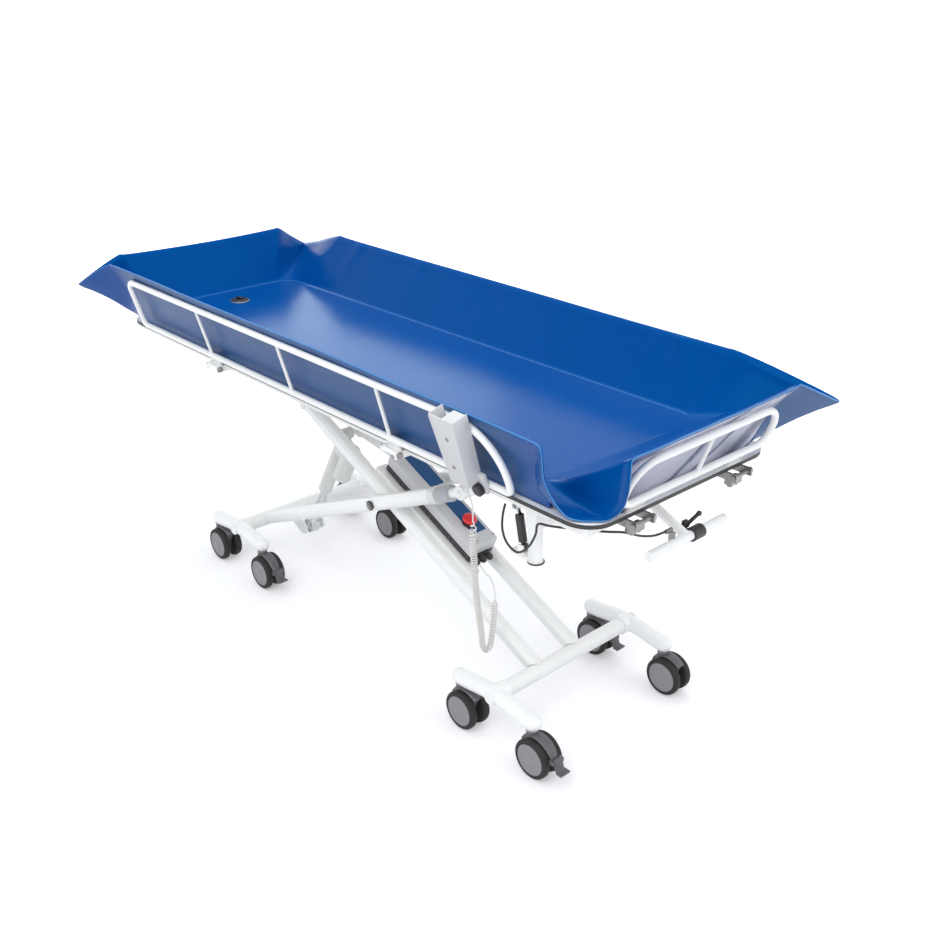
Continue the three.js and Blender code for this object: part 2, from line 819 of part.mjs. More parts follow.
function actuatorBracket() {
  const outline = bracketShares.map(([along, rise]) => [
    headAlong + along * bracketWidth,
    headOffset - bracketBoltRadius * 2 + rise * (bracketBoltRadius * 2 - headOffset),
  ]);
  return join(
    plateY(outline, nearArmSideY + gap, nearArmSideY + gap + bracketWall),
    plateY(outline, farArmSideY - gap - bracketWall, farArmSideY - gap),
    pinY(headAlong, nearArmSideY + gap, farArmSideY - gap, headOffset, bracketBoltRadius),
  );
}

place(innerFrame, 'actuator_bracket', actuatorBracket(), white);

// Actuator: the body hangs on the bracket bolt, and its rod slides out to the crank pin
const actuatorFoot = at(rearAxleX + crankX, 0, axleZ + crankZ);
const actuatorHead = at(actuatorHeadX, 0, actuatorHeadZ);
const actuatorSpan = actuatorFoot.distanceTo(actuatorHead);
const actuatorTurn = Math.atan2(actuatorFoot.x - actuatorHead.x, actuatorFoot.z - actuatorHead.z);
const actuator = group(actuatorHeadX, scissorY, actuatorHeadZ);
actuator.rotation.y = actuatorTurn;

function actuatorBody() {
  const eyeHalf = actuatorLugHalf + actuatorLugWall;
  const motorX = -motorOffset;
  const motorEnd = motorStart + motorLength;
  const body = join(
    pinY(0, -eyeHalf, eyeHalf, 0, actuatorEyeRadius),
    pinZ(0, 0, 0, actuatorTubeLength, actuatorTubeRadius),
    pinZ(motorX, 0, motorStart, motorEnd, motorRadius),
    box(motorX, 0, -actuatorTubeRadius, actuatorTubeRadius, motorStart, motorStart + actuatorTubeRadius * 2),
  );
  return cut(
    body,
    holeY(0, -eyeHalf, eyeHalf, 0, bracketBoltRadius),
    holeZ(0, 0, actuatorEyeRadius + 2 * overrun, actuatorTubeLength, actuatorRodRadius),
  );
}

function actuatorRod() {
  const eye = actuatorPinRadius + actuatorSlack;
  const rodPiece = join(
    pinZ(0, 0, actuatorSpan - actuatorRodLength, actuatorSpan, actuatorRodRadius),
    pinY(0, -actuatorLugHalf, actuatorLugHalf, actuatorSpan, eye + actuatorLugWall),
  );
  return cut(rodPiece, holeY(0, -actuatorLugHalf, actuatorLugHalf, actuatorSpan, eye));
}

place(actuator, 'actuator_body', actuatorBody(), black);
place(actuator, 'actuator_rod', actuatorRod(), steel);

// Control box on its rail, with saddles between the arms and plugs at the low end
const boxStart = armLength - boxHigh;
const boxEnd = armLength - boxLow;
const trayInnerY = scissorY - innerArmSpread + armRadius + trayWidth;

function controlBoxRail() {
  let rail = box(boxStart, boxEnd, boxNearY, boxFarY, boxBaseRise, boxRise - gap);
  for (const along of [saddleLow, saddleHigh]) {
    const x = armLength - along;
    rail = join(rail, box(x - saddleHalf, x + saddleHalf, trayInnerY + gap, farArmSideY - gap, -gap, boxBaseRise));
  }
  for (let k = 0; k < plugCount; k += 1) {
    const y = plugY + k * plugPitch;
    rail = join(rail, pinX(boxEnd - overrun, boxEnd + plugLength, y, boxRise - plugRadius, plugRadius, smallSides));
  }
  return rail;
}

function controlBox() {
  const x = armLength - stopAlong;
  const top = boxRise + boxHeight;
  return cut(
    join(
      box(boxStart, boxEnd, boxNearY, boxFarY, boxRise, top),
      pinZ(x, stopY, top - overrun, top + stopBaseHeight, stopBaseRadius),
    ),
    holeZ(x, stopY, top - stopStroke * 2, top + stopBaseHeight, stopStemRadius),
  );
}

function emergencyStop() {
  const x = armLength - stopAlong;
  const collarTop = boxRise + boxHeight + stopBaseHeight;
  const headLow = collarTop + stopStroke + gap;
  return join(
    pinZ(x, stopY, collarTop - stopStroke, headLow + stopHeadHeight, stopStemRadius),
    rod(at(x, stopY, headLow), at(x, stopY, headLow + stopHeadHeight), stopHeadRadius, roundSides, stopHeadRadius - stopStroke),
  );
}

place(innerFrame, 'control_box_rail', controlBoxRail(), black);
place(innerFrame, 'control_box', controlBox(), boxGrey);
place(innerFrame, 'emergency_stop', emergencyStop(), red);

// Subframe: two channels, the top pivot shaft and the crossbar with its post
const channelLowZ = topPivotZ - channelHeight / 2;
const channelTopZ = topPivotZ + channelHeight / 2;

function channel(side) {
  const openY = side < 0 ? channelNearOpenY : channelFarOpenY;
  const webY = openY + side * channelDepth;
  const innerY = webY - side * channelWall;
  const outline = [
    [webY, channelLowZ], [openY, channelLowZ], [openY, channelLowZ + channelWall],
    [innerY, channelLowZ + channelWall], [innerY, channelTopZ - channelWall],
    [openY, channelTopZ - channelWall], [openY, channelTopZ], [webY, channelTopZ],
  ];
  const shaftHole = holeY(rearAxleX, Math.min(webY, openY), Math.max(webY, openY), topPivotZ, topShaftRadius);
  return cut(plateX(outline, channelTailX, channelEndX), shaftHole);
}

for (const [sideName, side] of sides) {
  place(trolley, `subframe_channel_${sideName}`, channel(side), white);
}

const tiltLugNearY = channelNearOpenY - channelDepth - gap - tiltLugWall;
const tiltLugFarY = channelFarOpenY + channelDepth + gap + tiltLugWall;
const shaftNearY = tiltLugNearY - gap - overrun;
const shaftFarY = tiltLugFarY + gap + overrun;
place(trolley, 'top_pivot_shaft', pinY(rearAxleX, shaftNearY, shaftFarY, topPivotZ, topShaftRadius), zinc);

const frameLowZ = boardZ - gap - frameHeight;
const crossbarStart = channelEndX + gap;
const crossbarEnd = crossbarStart + crossbarLength;
const postX = (crossbarStart + crossbarEnd) / 2;
const crossbarLowZ = channelTopZ - crossbarHeight;
const postLowZ = crossbarLowZ - postDrop;
const springPlateTopZ = springFootZ - springEyeRadius - gap * 2;
const cheekIn = springEyeHalf + gap;
const cheekOut = cheekIn + springCheekWall;
const cheekMid = (cheekIn + cheekOut) / 2;

function springCheeks(x, z0, z1, halfLength) {
  return [-1, 1].map((side) => {
    const y0 = springY + side * cheekIn;
    const y1 = springY + side * cheekOut;
    return box(x - halfLength, x + halfLength, Math.min(y0, y1), Math.max(y0, y1), z0, z1);
  });
}

function subframeCrossbar() {
  const plateLow = springPlateTopZ - springPlateWall;
  return join(
    box(crossbarStart, crossbarEnd, crossbarNearY, channelFarOpenY + channelDepth, crossbarLowZ, channelTopZ),
    box(crossbarStart, crossbarEnd, -restPadHalf, restPadHalf, crossbarLowZ, frameLowZ + crossMemberInset - gap),
    pinZ(postX, springY, postLowZ, crossbarLowZ + overrun, postRadius),
    pinZ(postX, springY, postLowZ, postLowZ + postRingHeight, postRingRadius),
    box(springPlateX, postX, springY - postRadius, springY + postRadius, plateLow, springPlateTopZ),
    ...springCheeks(springFootX, plateLow, springFootZ + springEyeRadius, springEyeRadius),
    pinY(springFootX, springY - cheekMid, springY + cheekMid, springFootZ, springPinRadius, smallSides),
  );
}

place(trolley, 'subframe_crossbar', subframeCrossbar(), white);

// Gas spring between the post plate and the deck frame
const springSpan = Math.hypot(springHeadX - springFootX, springHeadZ - springFootZ);
const spring = group(springFootX, springY, springFootZ);
spring.rotation.y = Math.atan2(springHeadX - springFootX, springHeadZ - springFootZ);

function springCylinder() {
  return cut(
    join(
      pinY(0, -springEyeHalf, springEyeHalf, 0, springEyeRadius, smallSides),
      pinZ(0, 0, 0, springBodyStart + overrun, springRodRadius, smallSides),
      pinZ(0, 0, springBodyStart, springBodyEnd, springRadius),
    ),
    holeY(0, -springEyeHalf, springEyeHalf, 0, springPinRadius, smallSides),
    holeZ(0, 0, springRodStart - gap, springBodyEnd, springRodRadius, smallSides),
  );
}

function springRod() {
  const pinReach = cheekOut + gap;
  return join(
    pinZ(0, 0, springRodStart, springSpan, springRodRadius, smallSides),
    pinY(0, -springEyeHalf, springEyeHalf, springSpan, springEyeRadius, smallSides),
    pinY(0, -pinReach, pinReach, springSpan, springPinRadius, smallSides),
  );
}

place(spring, 'gas_spring_cylinder', springCylinder(), black);
place(spring, 'gas_spring_rod', springRod(), steel);

// Deck board on its frame
const boardHalfLength = boardLength / 2;
const boardHalfWidth = boardWidth / 2;
const boardOutline = roundedRectangle(-boardHalfLength, boardHalfLength, -boardHalfWidth, boardHalfWidth, boardCorner);
const frameTopZ = boardZ - gap;
const barHalf = frameBarWidth / 2;
const sideHingeX = [hingeHeadX, hingeFootX];
place(trolley, 'deck_board', plateZ(boardOutline, boardZ, boardZ + boardThickness), boardWhite);

const crossMember = (x0, x1) =>
  box(x0, x1, -frameBarY, frameBarY, frameLowZ + crossMemberInset, frameTopZ - crossMemberInset);
const hingeLowZ = railHingeZ - hingeBarrelRadius;
const hingeTopZ = frameTopZ - 2 * crossMemberInset;

// Ears and pin for one rail hinge. The block reaches out from start to the hinge axis.
function sideHinge(x, side) {
  const start = side * frameBarY;
  const end = side * (sideRailY + hingeBarrelRadius);
  const ear = hingePlateHalf + gap;
  const ears = [-1, 1].map((end2) => {
    const x0 = x + end2 * ear;
    const x1 = x + end2 * (ear + hingeEarWall);
    return box(Math.min(x0, x1), Math.max(x0, x1), Math.min(start, end), Math.max(start, end), hingeLowZ, hingeTopZ);
  });
  const reach = ear + hingeEarWall / 2;
  return [...ears, pinX(x - reach, x + reach, side * sideRailY, railHingeZ, hingePinRadius, smallSides)];
}

function endHinge(y, end) {
  const start = end * (frameEndX - barHalf);
  const stop = end * (endRailX + hingeBarrelRadius);
  const ear = hingePlateHalf + gap;
  const ears = [-1, 1].map((side) => {
    const y0 = y + side * ear;
    const y1 = y + side * (ear + hingeEarWall);
    return box(Math.min(start, stop), Math.max(start, stop), Math.min(y0, y1), Math.max(y0, y1), hingeLowZ, hingeTopZ);
  });
  const reach = ear + hingeEarWall / 2;
  return [...ears, pinY(end * endRailX, y - reach, y + reach, railHingeZ, hingePinRadius, smallSides)];
}

function tiltLug(y0, y1) {
  return join(
    box(rearAxleX - tiltLugRadius, rearAxleX + tiltLugRadius, y0, y1, topPivotZ, frameLowZ + 2 * overrun),
    pinY(rearAxleX, y0, y1, topPivotZ, tiltLugRadius),
  );
}

function deckFrame() {
  const pieces = [crossMember(rearAxleX - barHalf, rearAxleX + barHalf)];
  for (const [, side] of sides) {
    const y = side * frameBarY;
    pieces.push(box(-frameEndX, frameEndX, y - barHalf, y + barHalf, frameLowZ, frameTopZ));
    for (const x of sideHingeX) pieces.push(...sideHinge(x, side));
  }
  for (const end of [-1, 1]) {
    const x = end * (frameEndX - barHalf - crossMemberInset);
    pieces.push(crossMember(x - barHalf, x + barHalf));
    for (const y of [-endHingeY, endHingeY]) pieces.push(...endHinge(y, end));
  }
  for (const x of frameMidX) pieces.push(crossMember(x - barHalf, x + barHalf));
  pieces.push(
    crossMember(springBarStart, springBarEnd),
    crossMember(handleBarStart, handleBarEnd),
    tiltLug(tiltLugNearY, tiltLugNearY + tiltLugWall),
    tiltLug(tiltLugFarY - tiltLugWall, tiltLugFarY),
    ...springCheeks(springHeadX, springHeadZ - springEyeRadius, frameLowZ + 2 * overrun, springEyeRadius),
    pinZ(hookX, -frameBarY, frameLowZ - hookLength, frameLowZ + overrun, hookRadius, smallSides),
  );
  return cut(
    join(...pieces),
    holeY(rearAxleX, tiltLugNearY, tiltLugFarY, topPivotZ, topShaftRadius),
    holeY(springHeadX, springY - cheekOut, springY + cheekOut, springHeadZ, springPinRadius + springPinClear, smallSides),
  );
}

place(trolley, 'deck_frame', deckFrame(), white);

// Rails in their own plane: x along, y up the slope, z square to it
function railLoop(low, high, height, lowRadii, highRadii) {
  const middle = (low + high) / 2;
  const path = [
    at(middle - railRadius, 0, 0), at(low, 0, 0), at(low, height, 0),
    at(high, height, 0), at(high, 0, 0), at(middle + railRadius, 0, 0),
  ];
  const radii = [lowRadii[0], highRadii[0], highRadii[1], lowRadii[1]];
  const overlap = railRadius * 2;
  return join(
    tube(rounded(path, radii, 3), railRadius),
    pinX(middle - overlap, middle + overlap, 0, 0, railRadius, smallSides),
  );
}

function hingeLeaf(x, drop, lean, outward) {
  const rise = -drop * Math.cos(lean);
  const out = outward * drop * Math.sin(lean);
  return join(
    beam(at(x, 0, 0), at(x, rise, out), at(1, 0, 0), 2 * hingePlateHalf, hingePlateWall),
    pinX(x - hingePlateHalf, x + hingePlateHalf, rise, out, hingeBarrelRadius, smallSides),
  );
}

function hingeBore(x, drop, lean, outward) {
  const rise = -drop * Math.cos(lean);
  const out = outward * drop * Math.sin(lean);
  return holeX(x - hingePlateHalf, x + hingePlateHalf, rise, out, hingePinRadius, smallSides);
}

function rail(loop, height, uprights, hinges, drop, lean, outward) {
  const whole = join(
    loop,
    ...uprights.map((x) => rod(at(x, 0, 0), at(x, height, 0), uprightRadius, smallSides)),
    ...hinges.map((x) => hingeLeaf(x, drop, lean, outward)),
  );
  return cut(whole, ...hinges.map((x) => hingeBore(x, drop, lean, outward)));
}

function sideRailGroup(side) {
  const plane = group(0, side * sideRailY, railHingeZ + sideRailLift);
  plane.rotation.x = Math.PI / 2 - side * sideRailLean;
  return plane;
}

const sideRailPlanes = {};
for (const [sideName, side] of sides) {
  const loop = railLoop(sideRailHeadX, sideRailFootX, sideRailHeight, [sideRailLowRadius, sideRailLowRadius],
    [sideRailHeadRadius, sideRailFootRadius]);
  const uprights = [hingeHeadX, hingeMidX, hingeFootX];
  const whole = rail(loop, sideRailHeight, uprights, sideHingeX, sideRailLift, sideRailLean, -side);
  sideRailPlanes[sideName] = sideRailGroup(side);
  place(sideRailPlanes[sideName], `side_rail_${sideName}`, whole, white);
}

for (const [endName, end] of [['head', -1], ['foot', 1]]) {
  const loop = railLoop(-endRailHalf, endRailHalf, endRailHeight, [endRailLowRadius, endRailLowRadius],
    [endRailTopRadius, endRailTopRadius]);
  const whole = rail(loop, endRailHeight, [0], [-endHingeY, endHingeY], endRailLift, endRailLean, 1);
  const plane = group(end * endRailX, 0, railHingeZ + endRailLift);
  const along = at(0, end, 0);
  const up = at(end * Math.sin(endRailLean), 0, Math.cos(endRailLean));
  plane.setRotationFromMatrix(new THREE.Matrix4().makeBasis(along, up, along.clone().cross(up)));
  place(plane, `end_rail_${endName}`, whole, white);
}

// Handset holder, its clamp knob and the handset on the near side rail
const holderFaceIn = holderOut;
const holderFaceOut = holderOut + holderWall;
const railClear = railRadius + gap;
const clampBlockOut = railClear + clampBlockWall;

function handsetHolder() {
  const face = plateZ([
    [holderNearX + holderTaper, holderLow], [holderFarX, holderLow],
    [holderFarX, holderHigh], [holderNearX, holderHigh],
  ], holderFaceIn, holderFaceOut);
  const farFlange = box(holderFarX - holderWall, holderFarX, holderLow, holderHigh, railClear, holderFaceOut);
  const nearFlange = beam(
    at(holderNearX + holderTaper + holderWall / 2, holderLow, (railClear + holderFaceOut) / 2),
    at(holderNearX + holderWall / 2, holderHigh, (railClear + holderFaceOut) / 2),
    at(0, 0, 1), holderFaceOut - railClear, holderWall,
  );
  const shelf = box(holderNearX + holderTaper, holderNearX + 2 * holderTaper, holderLow, holderLow + holderWall,
    holderFaceIn - holderTaper, holderFaceOut);
  const block = box(clampBlockX, clampBlockEndX, clampBlockLow, clampBlockHigh, railClear, clampBlockOut);
  const bore = holeZ(knobX, knobRise, clampBlockOut - knobStemLength, clampBlockOut, knobStemRadius, smallSides);
  return cut(join(face, farFlange, nearFlange, shelf, block), bore);
}

function clampKnob() {
  const low = clampBlockOut + gap;
  return join(
    pinZ(knobX, knobRise, clampBlockOut - knobStemLength, low + overrun, knobStemRadius, smallSides),
    pinZ(knobX, knobRise, low, low + knobHeight, knobRadius, knobLobes),
  );
}

const handsetFarX = holderFarX - holderWall - gap;
const handsetNearX = handsetFarX - handsetWidth;
const handsetOut = holderFaceIn - gap;
const reliefX = clampBlockX - gap - reliefRadius;
const reliefOut = handsetOut - handsetDepth / 2;

function handset() {
  const shape = roundedRectangle(handsetNearX, handsetFarX, handsetLow, handsetHigh, handsetBevel * 2, 3);
  return join(
    plateZ(shape, handsetOut - handsetDepth, handsetOut),
    rod(at(reliefX, handsetLow + overrun, reliefOut), at(reliefX, handsetLow - reliefLength, reliefOut), reliefRadius,
      smallSides, reliefRadius / 2),
  );
}

place(sideRailPlanes.near, 'handset_holder', handsetHolder(), boxGrey);
place(sideRailPlanes.near, 'clamp_knob', clampKnob(), black);
place(sideRailPlanes.near, 'handset', handset(), greyPlastic);

// Tub liner: an open tub with leaning walls, corner wings and one open corner
function tubLevel(x) {
  const share = (x - tubRimHeadX) / (tubRimFootX - tubRimHeadX);
  return tubRimHeadZ + (tubRimFootZ - tubRimHeadZ) * share;
}

function wing(end, side) {
  const rimX = end < 0 ? tubRimHeadX : tubRimFootX;
  const root = end < 0 ? tubFloorHeadX : tubFloorFootX;
  const rimZ = tubLevel(rimX);
  const tip = at(end * wingTipX, side * wingTipY, wingTipZ);
  const points = [
    tip, at(tip.x, tip.y - side * wingWall, wingTipZ), at(tip.x - end * wingWall, tip.y, wingTipZ),
    at(rimX - end * wingRootX * 2, side * tubRimHalf, rimZ), at(rimX, side * (tubRimHalf - wingRootY * 2), rimZ),
    at(rimX - end * wingRootX, side * (tubRimHalf - wingRootY), rimZ),
    at((rimX + root) / 2, side * (tubFloorHalf + wingWall), (wingTipZ + tubFloorZ) / 2),
  ];
  return wasm.Manifold.hull(points.map((p) => p.toArray()));
}

function tubLiner() {
  const baseZ = boardZ + boardThickness + gap;
  const wallDrop = (tubFloorZ - baseZ) / (tubRimHeadZ - baseZ);
  const foot = (floor, rim) => floor - (rim - floor) * wallDrop;
  const outer = loft(
    roundedRectangle(foot(tubFloorHeadX, tubRimHeadX), foot(tubFloorFootX, tubRimFootX),
      -foot(tubFloorHalf, tubRimHalf) - tubWall, foot(tubFloorHalf, tubRimHalf) + tubWall, tubFloorCorner),
    baseZ,
    roundedRectangle(tubRimHeadX, tubRimFootX, -tubRimHalf, tubRimHalf, tubRimCorner),
    tubLevel,
  );
  const inner = loft(
    roundedRectangle(tubFloorHeadX + tubWall, tubFloorFootX - tubWall, -tubFloorHalf, tubFloorHalf, tubFloorCorner),
    tubFloorZ,
    roundedRectangle(tubRimHeadX + tubWall, tubRimFootX - tubWall, -tubRimHalf + tubWall, tubRimHalf - tubWall,
      tubRimCorner),
    (x) => tubLevel(x) + overrun,
  );
  const openCorner = plateZ([
    [tubFloorFootX, -tubFloorHalf], [openCornerX, -wingTipY - overrun], [wingTipX + overrun, -wingTipY - overrun],
    [wingTipX + overrun, -openCornerY],
  ], tubFloorZ, tubRimHeadZ + 2 * overrun);
  const wings = [wing(-1, -1), wing(-1, 1), wing(1, 1)].map((piece) => piece.subtract(inner));
  return cut(join(outer, ...wings), inner, openCorner);
}

function drainPlug() {
  const low = tubFloorZ + gap;
  const grip = drainGripWidth / 2;
  return join(
    pinZ(drainX, 0, low, low + drainHeight, drainRadius),
    box(drainX - drainRadius / 2, drainX + drainRadius / 2, -grip, grip, low, low + drainHeight + drainGripHeight),
  );
}

place(trolley, 'tub_liner', tubLiner(), cobalt);
place(trolley, 'drain_plug', drainPlug(), black);

// T-handle under the foot end, with the release lever on its crossbar
const handlePlateTop = frameLowZ + crossMemberInset - gap;
const handleRootZ = handlePlateTop - handleRootDrop;
const leverX = handleX - leverOffset;
const leverZ = handleZ + leverRise;
const leverIn = leverX + leverEarWall / 2 + gap;

function tHandle() {
  const earLow = leverX - leverEarWall / 2;
  const earHigh = leverX + leverEarWall / 2;
  const adjusterX = handleX - adjusterStalk;
  return join(
    rod(at(handleRootX, 0, handleRootZ), at(handleX, 0, handleZ), handleRadius),
    box(handleRootX - handlePlateHalf / 4, handleRootX + handlePlateHalf * 2, -handlePlateHalf, handlePlateHalf,
      handlePlateTop - handlePlateWall, handlePlateTop),
    pinY(handleX, -handleHalf, handleHalf, handleZ, handleRadius),
    pinY(handleX, clampNearY, clampFarY, handleZ, clampRadius),
    box(earLow, handleX, leverY - leverEyeRadius, leverY + leverEyeRadius, handleZ - leverEarWall, handleZ + leverEarWall / 2),
    box(earLow, earHigh, leverY - leverEyeRadius, leverY + leverEyeRadius, handleZ - leverEarWall, leverZ + leverEyeRadius),
    pinX(earLow, leverIn + leverWidth + gap, leverY, leverZ, leverPinRadius, smallSides),
    box(adjusterX - adjusterRadius, handleX, adjusterY - adjusterLength / 2, adjusterY - adjusterRadius,
      handleZ, handleZ + adjusterRise),
    pinY(adjusterX - adjusterRadius, adjusterY - adjusterLength, adjusterY, handleZ + adjusterRise, adjusterRadius, smallSides),
  );
}

function releaseLever() {
  const middle = leverIn + leverWidth / 2;
  const hub = at(middle, leverY, leverZ);
  const tip = at(middle, leverY + leverLength * Math.cos(leverAngle), leverZ + leverLength * Math.sin(leverAngle));
  const lever = join(
    pinX(leverIn, leverIn + leverWidth, leverY, leverZ, leverEyeRadius, smallSides),
    beam(hub, tip, at(1, 0, 0), leverWidth, leverWidth),
    ball(tip, leverBallRadius),
  );
  return cut(lever, holeX(leverIn, leverIn + leverWidth, leverY, leverZ, leverPinRadius, smallSides));
}

place(trolley, 't_handle', tHandle(), white);
place(trolley, 'release_lever', releaseLever(), black);

// Cords
const pointsOf = (route) => route.map(([x, y, z]) => at(x, y, z));

function plainCord(route, radius) {
  const curve = new THREE.CatmullRomCurve3(pointsOf(route));
  const steps = Math.min(Math.round(curve.getLength() / (radius * 2 * 3)), 26);
  return tube(curve.getSpacedPoints(steps), radius, cordSides);
}

// A curly cord is one tube wound round its route, with a straight stub at each end
function curlStations() {
  const curve = new THREE.CatmullRomCurve3(pointsOf(curlRoute));
  const steps = curlCount * curlSteps;
  const frames = curve.computeFrenetFrames(steps);
  const stations = [];
  for (let step = 0; step <= steps; step += 1) {
    const turn = (step * 2 * Math.PI) / curlSteps;
    const fade = Math.min(step, steps - step, curlSteps) / curlSteps;
    stations.push(curve.getPointAt(step / steps)
      .addScaledVector(frames.normals[step], curlRadius * fade * Math.cos(turn))
      .addScaledVector(frames.binormals[step], curlRadius * fade * Math.sin(turn)));
  }
  const stub = 2 * cordRadius;
  stations.unshift(stations[0].clone().addScaledVector(frames.tangents[0], -stub));
  stations.push(stations[stations.length - 1].clone().addScaledVector(frames.tangents[steps], stub));
  return stations;
}

function leastGap(stations, diameter) {
  let least = Infinity;
  const near = new THREE.Line3();
  const foot = at(0, 0, 0);
  for (let i = 0; i < stations.length; i += 1) {
    for (let j = i + curlSteps / 2; j < stations.length - 1; j += 1) {
      near.set(stations[j], stations[j + 1]).closestPointToPoint(stations[i], true, foot);
      least = Math.min(least, foot.distanceTo(stations[i]) - diameter);
    }
  }
  return least;
}

const curl = curlStations();
console.log(`handset_cord: least gap to itself ${leastGap(curl, 2 * cordRadius).toFixed(2)} mm`);
place(trolley, 'handset_cord', tube(curl, cordRadius, curlSides), black);
place(trolley, 'handset_lead', plainCord(leadRoute, leadRadius), black);
place(trolley, 'release_cable', plainCord(cableRoute, cableRadius), black);

export default trolley;
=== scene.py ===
import math

import bmesh
import bpy
from mathutils import Matrix, Vector, noise


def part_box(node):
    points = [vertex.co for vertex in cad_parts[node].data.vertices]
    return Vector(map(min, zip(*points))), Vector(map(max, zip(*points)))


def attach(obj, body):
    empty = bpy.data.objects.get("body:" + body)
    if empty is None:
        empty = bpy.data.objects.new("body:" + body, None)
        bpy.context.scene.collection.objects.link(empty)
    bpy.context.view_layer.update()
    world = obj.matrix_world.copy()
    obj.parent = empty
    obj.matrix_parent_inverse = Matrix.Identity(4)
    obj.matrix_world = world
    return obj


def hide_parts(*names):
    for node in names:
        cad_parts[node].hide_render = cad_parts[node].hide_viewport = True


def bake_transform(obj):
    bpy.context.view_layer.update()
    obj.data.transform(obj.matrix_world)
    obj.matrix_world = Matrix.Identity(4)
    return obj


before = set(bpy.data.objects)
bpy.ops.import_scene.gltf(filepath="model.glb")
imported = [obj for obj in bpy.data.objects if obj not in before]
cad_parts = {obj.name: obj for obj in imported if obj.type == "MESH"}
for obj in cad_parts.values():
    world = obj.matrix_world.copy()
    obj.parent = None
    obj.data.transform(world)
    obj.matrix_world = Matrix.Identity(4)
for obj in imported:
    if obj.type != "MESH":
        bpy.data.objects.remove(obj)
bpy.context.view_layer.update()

# Camera

CAMERA_PLACE = Vector((2.1406, -1.6815, 1.6827))
CAMERA_AIM = Vector((0.2774, 0.0115, 0.5168))


def make_camera():
    data = bpy.data.cameras.new("trolley_camera")
    data.lens = 40.98
    data.sensor_width = 36
    data.sensor_fit = "HORIZONTAL"
    data.clip_end = 60
    camera = bpy.data.objects.new("trolley_camera", data)
    bpy.context.scene.collection.objects.link(camera)
    camera.location = CAMERA_PLACE
    camera.rotation_euler = (CAMERA_AIM - CAMERA_PLACE).to_track_quat("-Z", "Y").to_euler()
    bpy.context.scene.camera = camera


make_camera()

# Material groups shared by several finishes


def new_group(name, inputs, outputs):
    group = bpy.data.node_groups.new(name, "ShaderNodeTree")
    for label, kind, value in inputs:
        socket = group.interface.new_socket(label, in_out="INPUT", socket_type=kind)
        socket.default_value = value
    for label, kind in outputs:
        group.interface.new_socket(label, in_out="OUTPUT", socket_type=kind)
    return group, group.nodes.new("NodeGroupInput"), group.nodes.new("NodeGroupOutput")


def math_node(tree, operation, *values):
    node = tree.nodes.new("ShaderNodeMath")
    node.operation = operation
    for index, value in enumerate(values):
        if isinstance(value, (int, float)):
            node.inputs[index].default_value = value
        else:
            tree.links.new(value, node.inputs[index])
    return node.outputs[0]


def mix_colours(tree, factor, first, second, blend="MIX"):
    node = tree.nodes.new("ShaderNodeMix")
    node.data_type = "RGBA"
    node.blend_type = blend
    for socket, value in ((node.inputs[0], factor), (node.inputs[6], first), (node.inputs[7], second)):
        if isinstance(value, (int, float, tuple)):
            socket.default_value = value
        else:
            tree.links.new(value, socket)
    return node.outputs[2]


def noise_node(tree, place, scale, detail=2.0):
    node = tree.nodes.new("ShaderNodeTexNoise")
    node.inputs["Detail"].default_value = detail
    if isinstance(scale, (int, float)):
        node.inputs["Scale"].default_value = scale
    else:
        tree.links.new(scale, node.inputs["Scale"])
    tree.links.new(place, node.inputs["Vector"])
    return node.outputs["Fac"]


def build_uneven_group():
    """Colour and roughness that drift a little over a surface."""
    tree, start, end = new_group(
        "uneven_surface",
        [
            ("Colour", "NodeSocketColor", (0.5, 0.5, 0.5, 1)),
            ("Colour drift", "NodeSocketFloat", 0.05),
            ("Roughness", "NodeSocketFloat", 0.4),
            ("Roughness drift", "NodeSocketFloat", 0.06),
            ("Scale", "NodeSocketFloat", 14.0),
        ],
        [("Colour", "NodeSocketColor"), ("Roughness", "NodeSocketFloat")],
    )
    place = tree.nodes.new("ShaderNodeTexCoord").outputs["Object"]
    cloud = noise_node(tree, place, start.outputs["Scale"], 3.0)
    centred = math_node(tree, "SUBTRACT", cloud, 0.5)
    shade = math_node(tree, "MULTIPLY_ADD", centred, start.outputs["Colour drift"], 1.0)
    grey = tree.nodes.new("ShaderNodeCombineColor")
    for index in range(3):
        tree.links.new(shade, grey.inputs[index])
    colour = mix_colours(tree, 1.0, start.outputs["Colour"], grey.outputs[0], "MULTIPLY")
    tree.links.new(colour, end.inputs["Colour"])
    rough = math_node(
        tree, "MULTIPLY_ADD", centred, start.outputs["Roughness drift"], start.outputs["Roughness"])
    tree.links.new(rough, end.inputs["Roughness"])
    return tree


def build_grain_group():
    """A fine grain as a normal, for powder coat, moulded plastic and rubber."""
    tree, start, end = new_group(
        "fine_grain",
        [
            ("Scale", "NodeSocketFloat", 900.0),
            ("Strength", "NodeSocketFloat", 0.1),
            ("Wave scale", "NodeSocketFloat", 30.0),
            ("Wave share", "NodeSocketFloat", 0.0),
        ],
        [("Normal", "NodeSocketVector")],
    )
    place = tree.nodes.new("ShaderNodeTexCoord").outputs["Object"]
    fine = noise_node(tree, place, start.outputs["Scale"], 2.0)
    wave = noise_node(tree, place, start.outputs["Wave scale"], 1.0)
    height = math_node(tree, "MULTIPLY_ADD", wave, start.outputs["Wave share"], fine)
    bump = tree.nodes.new("ShaderNodeBump")
    bump.inputs["Distance"].default_value = 0.0004
    tree.links.new(start.outputs["Strength"], bump.inputs["Strength"])
    tree.links.new(height, bump.inputs["Height"])
    tree.links.new(bump.outputs[0], end.inputs["Normal"])
    return tree


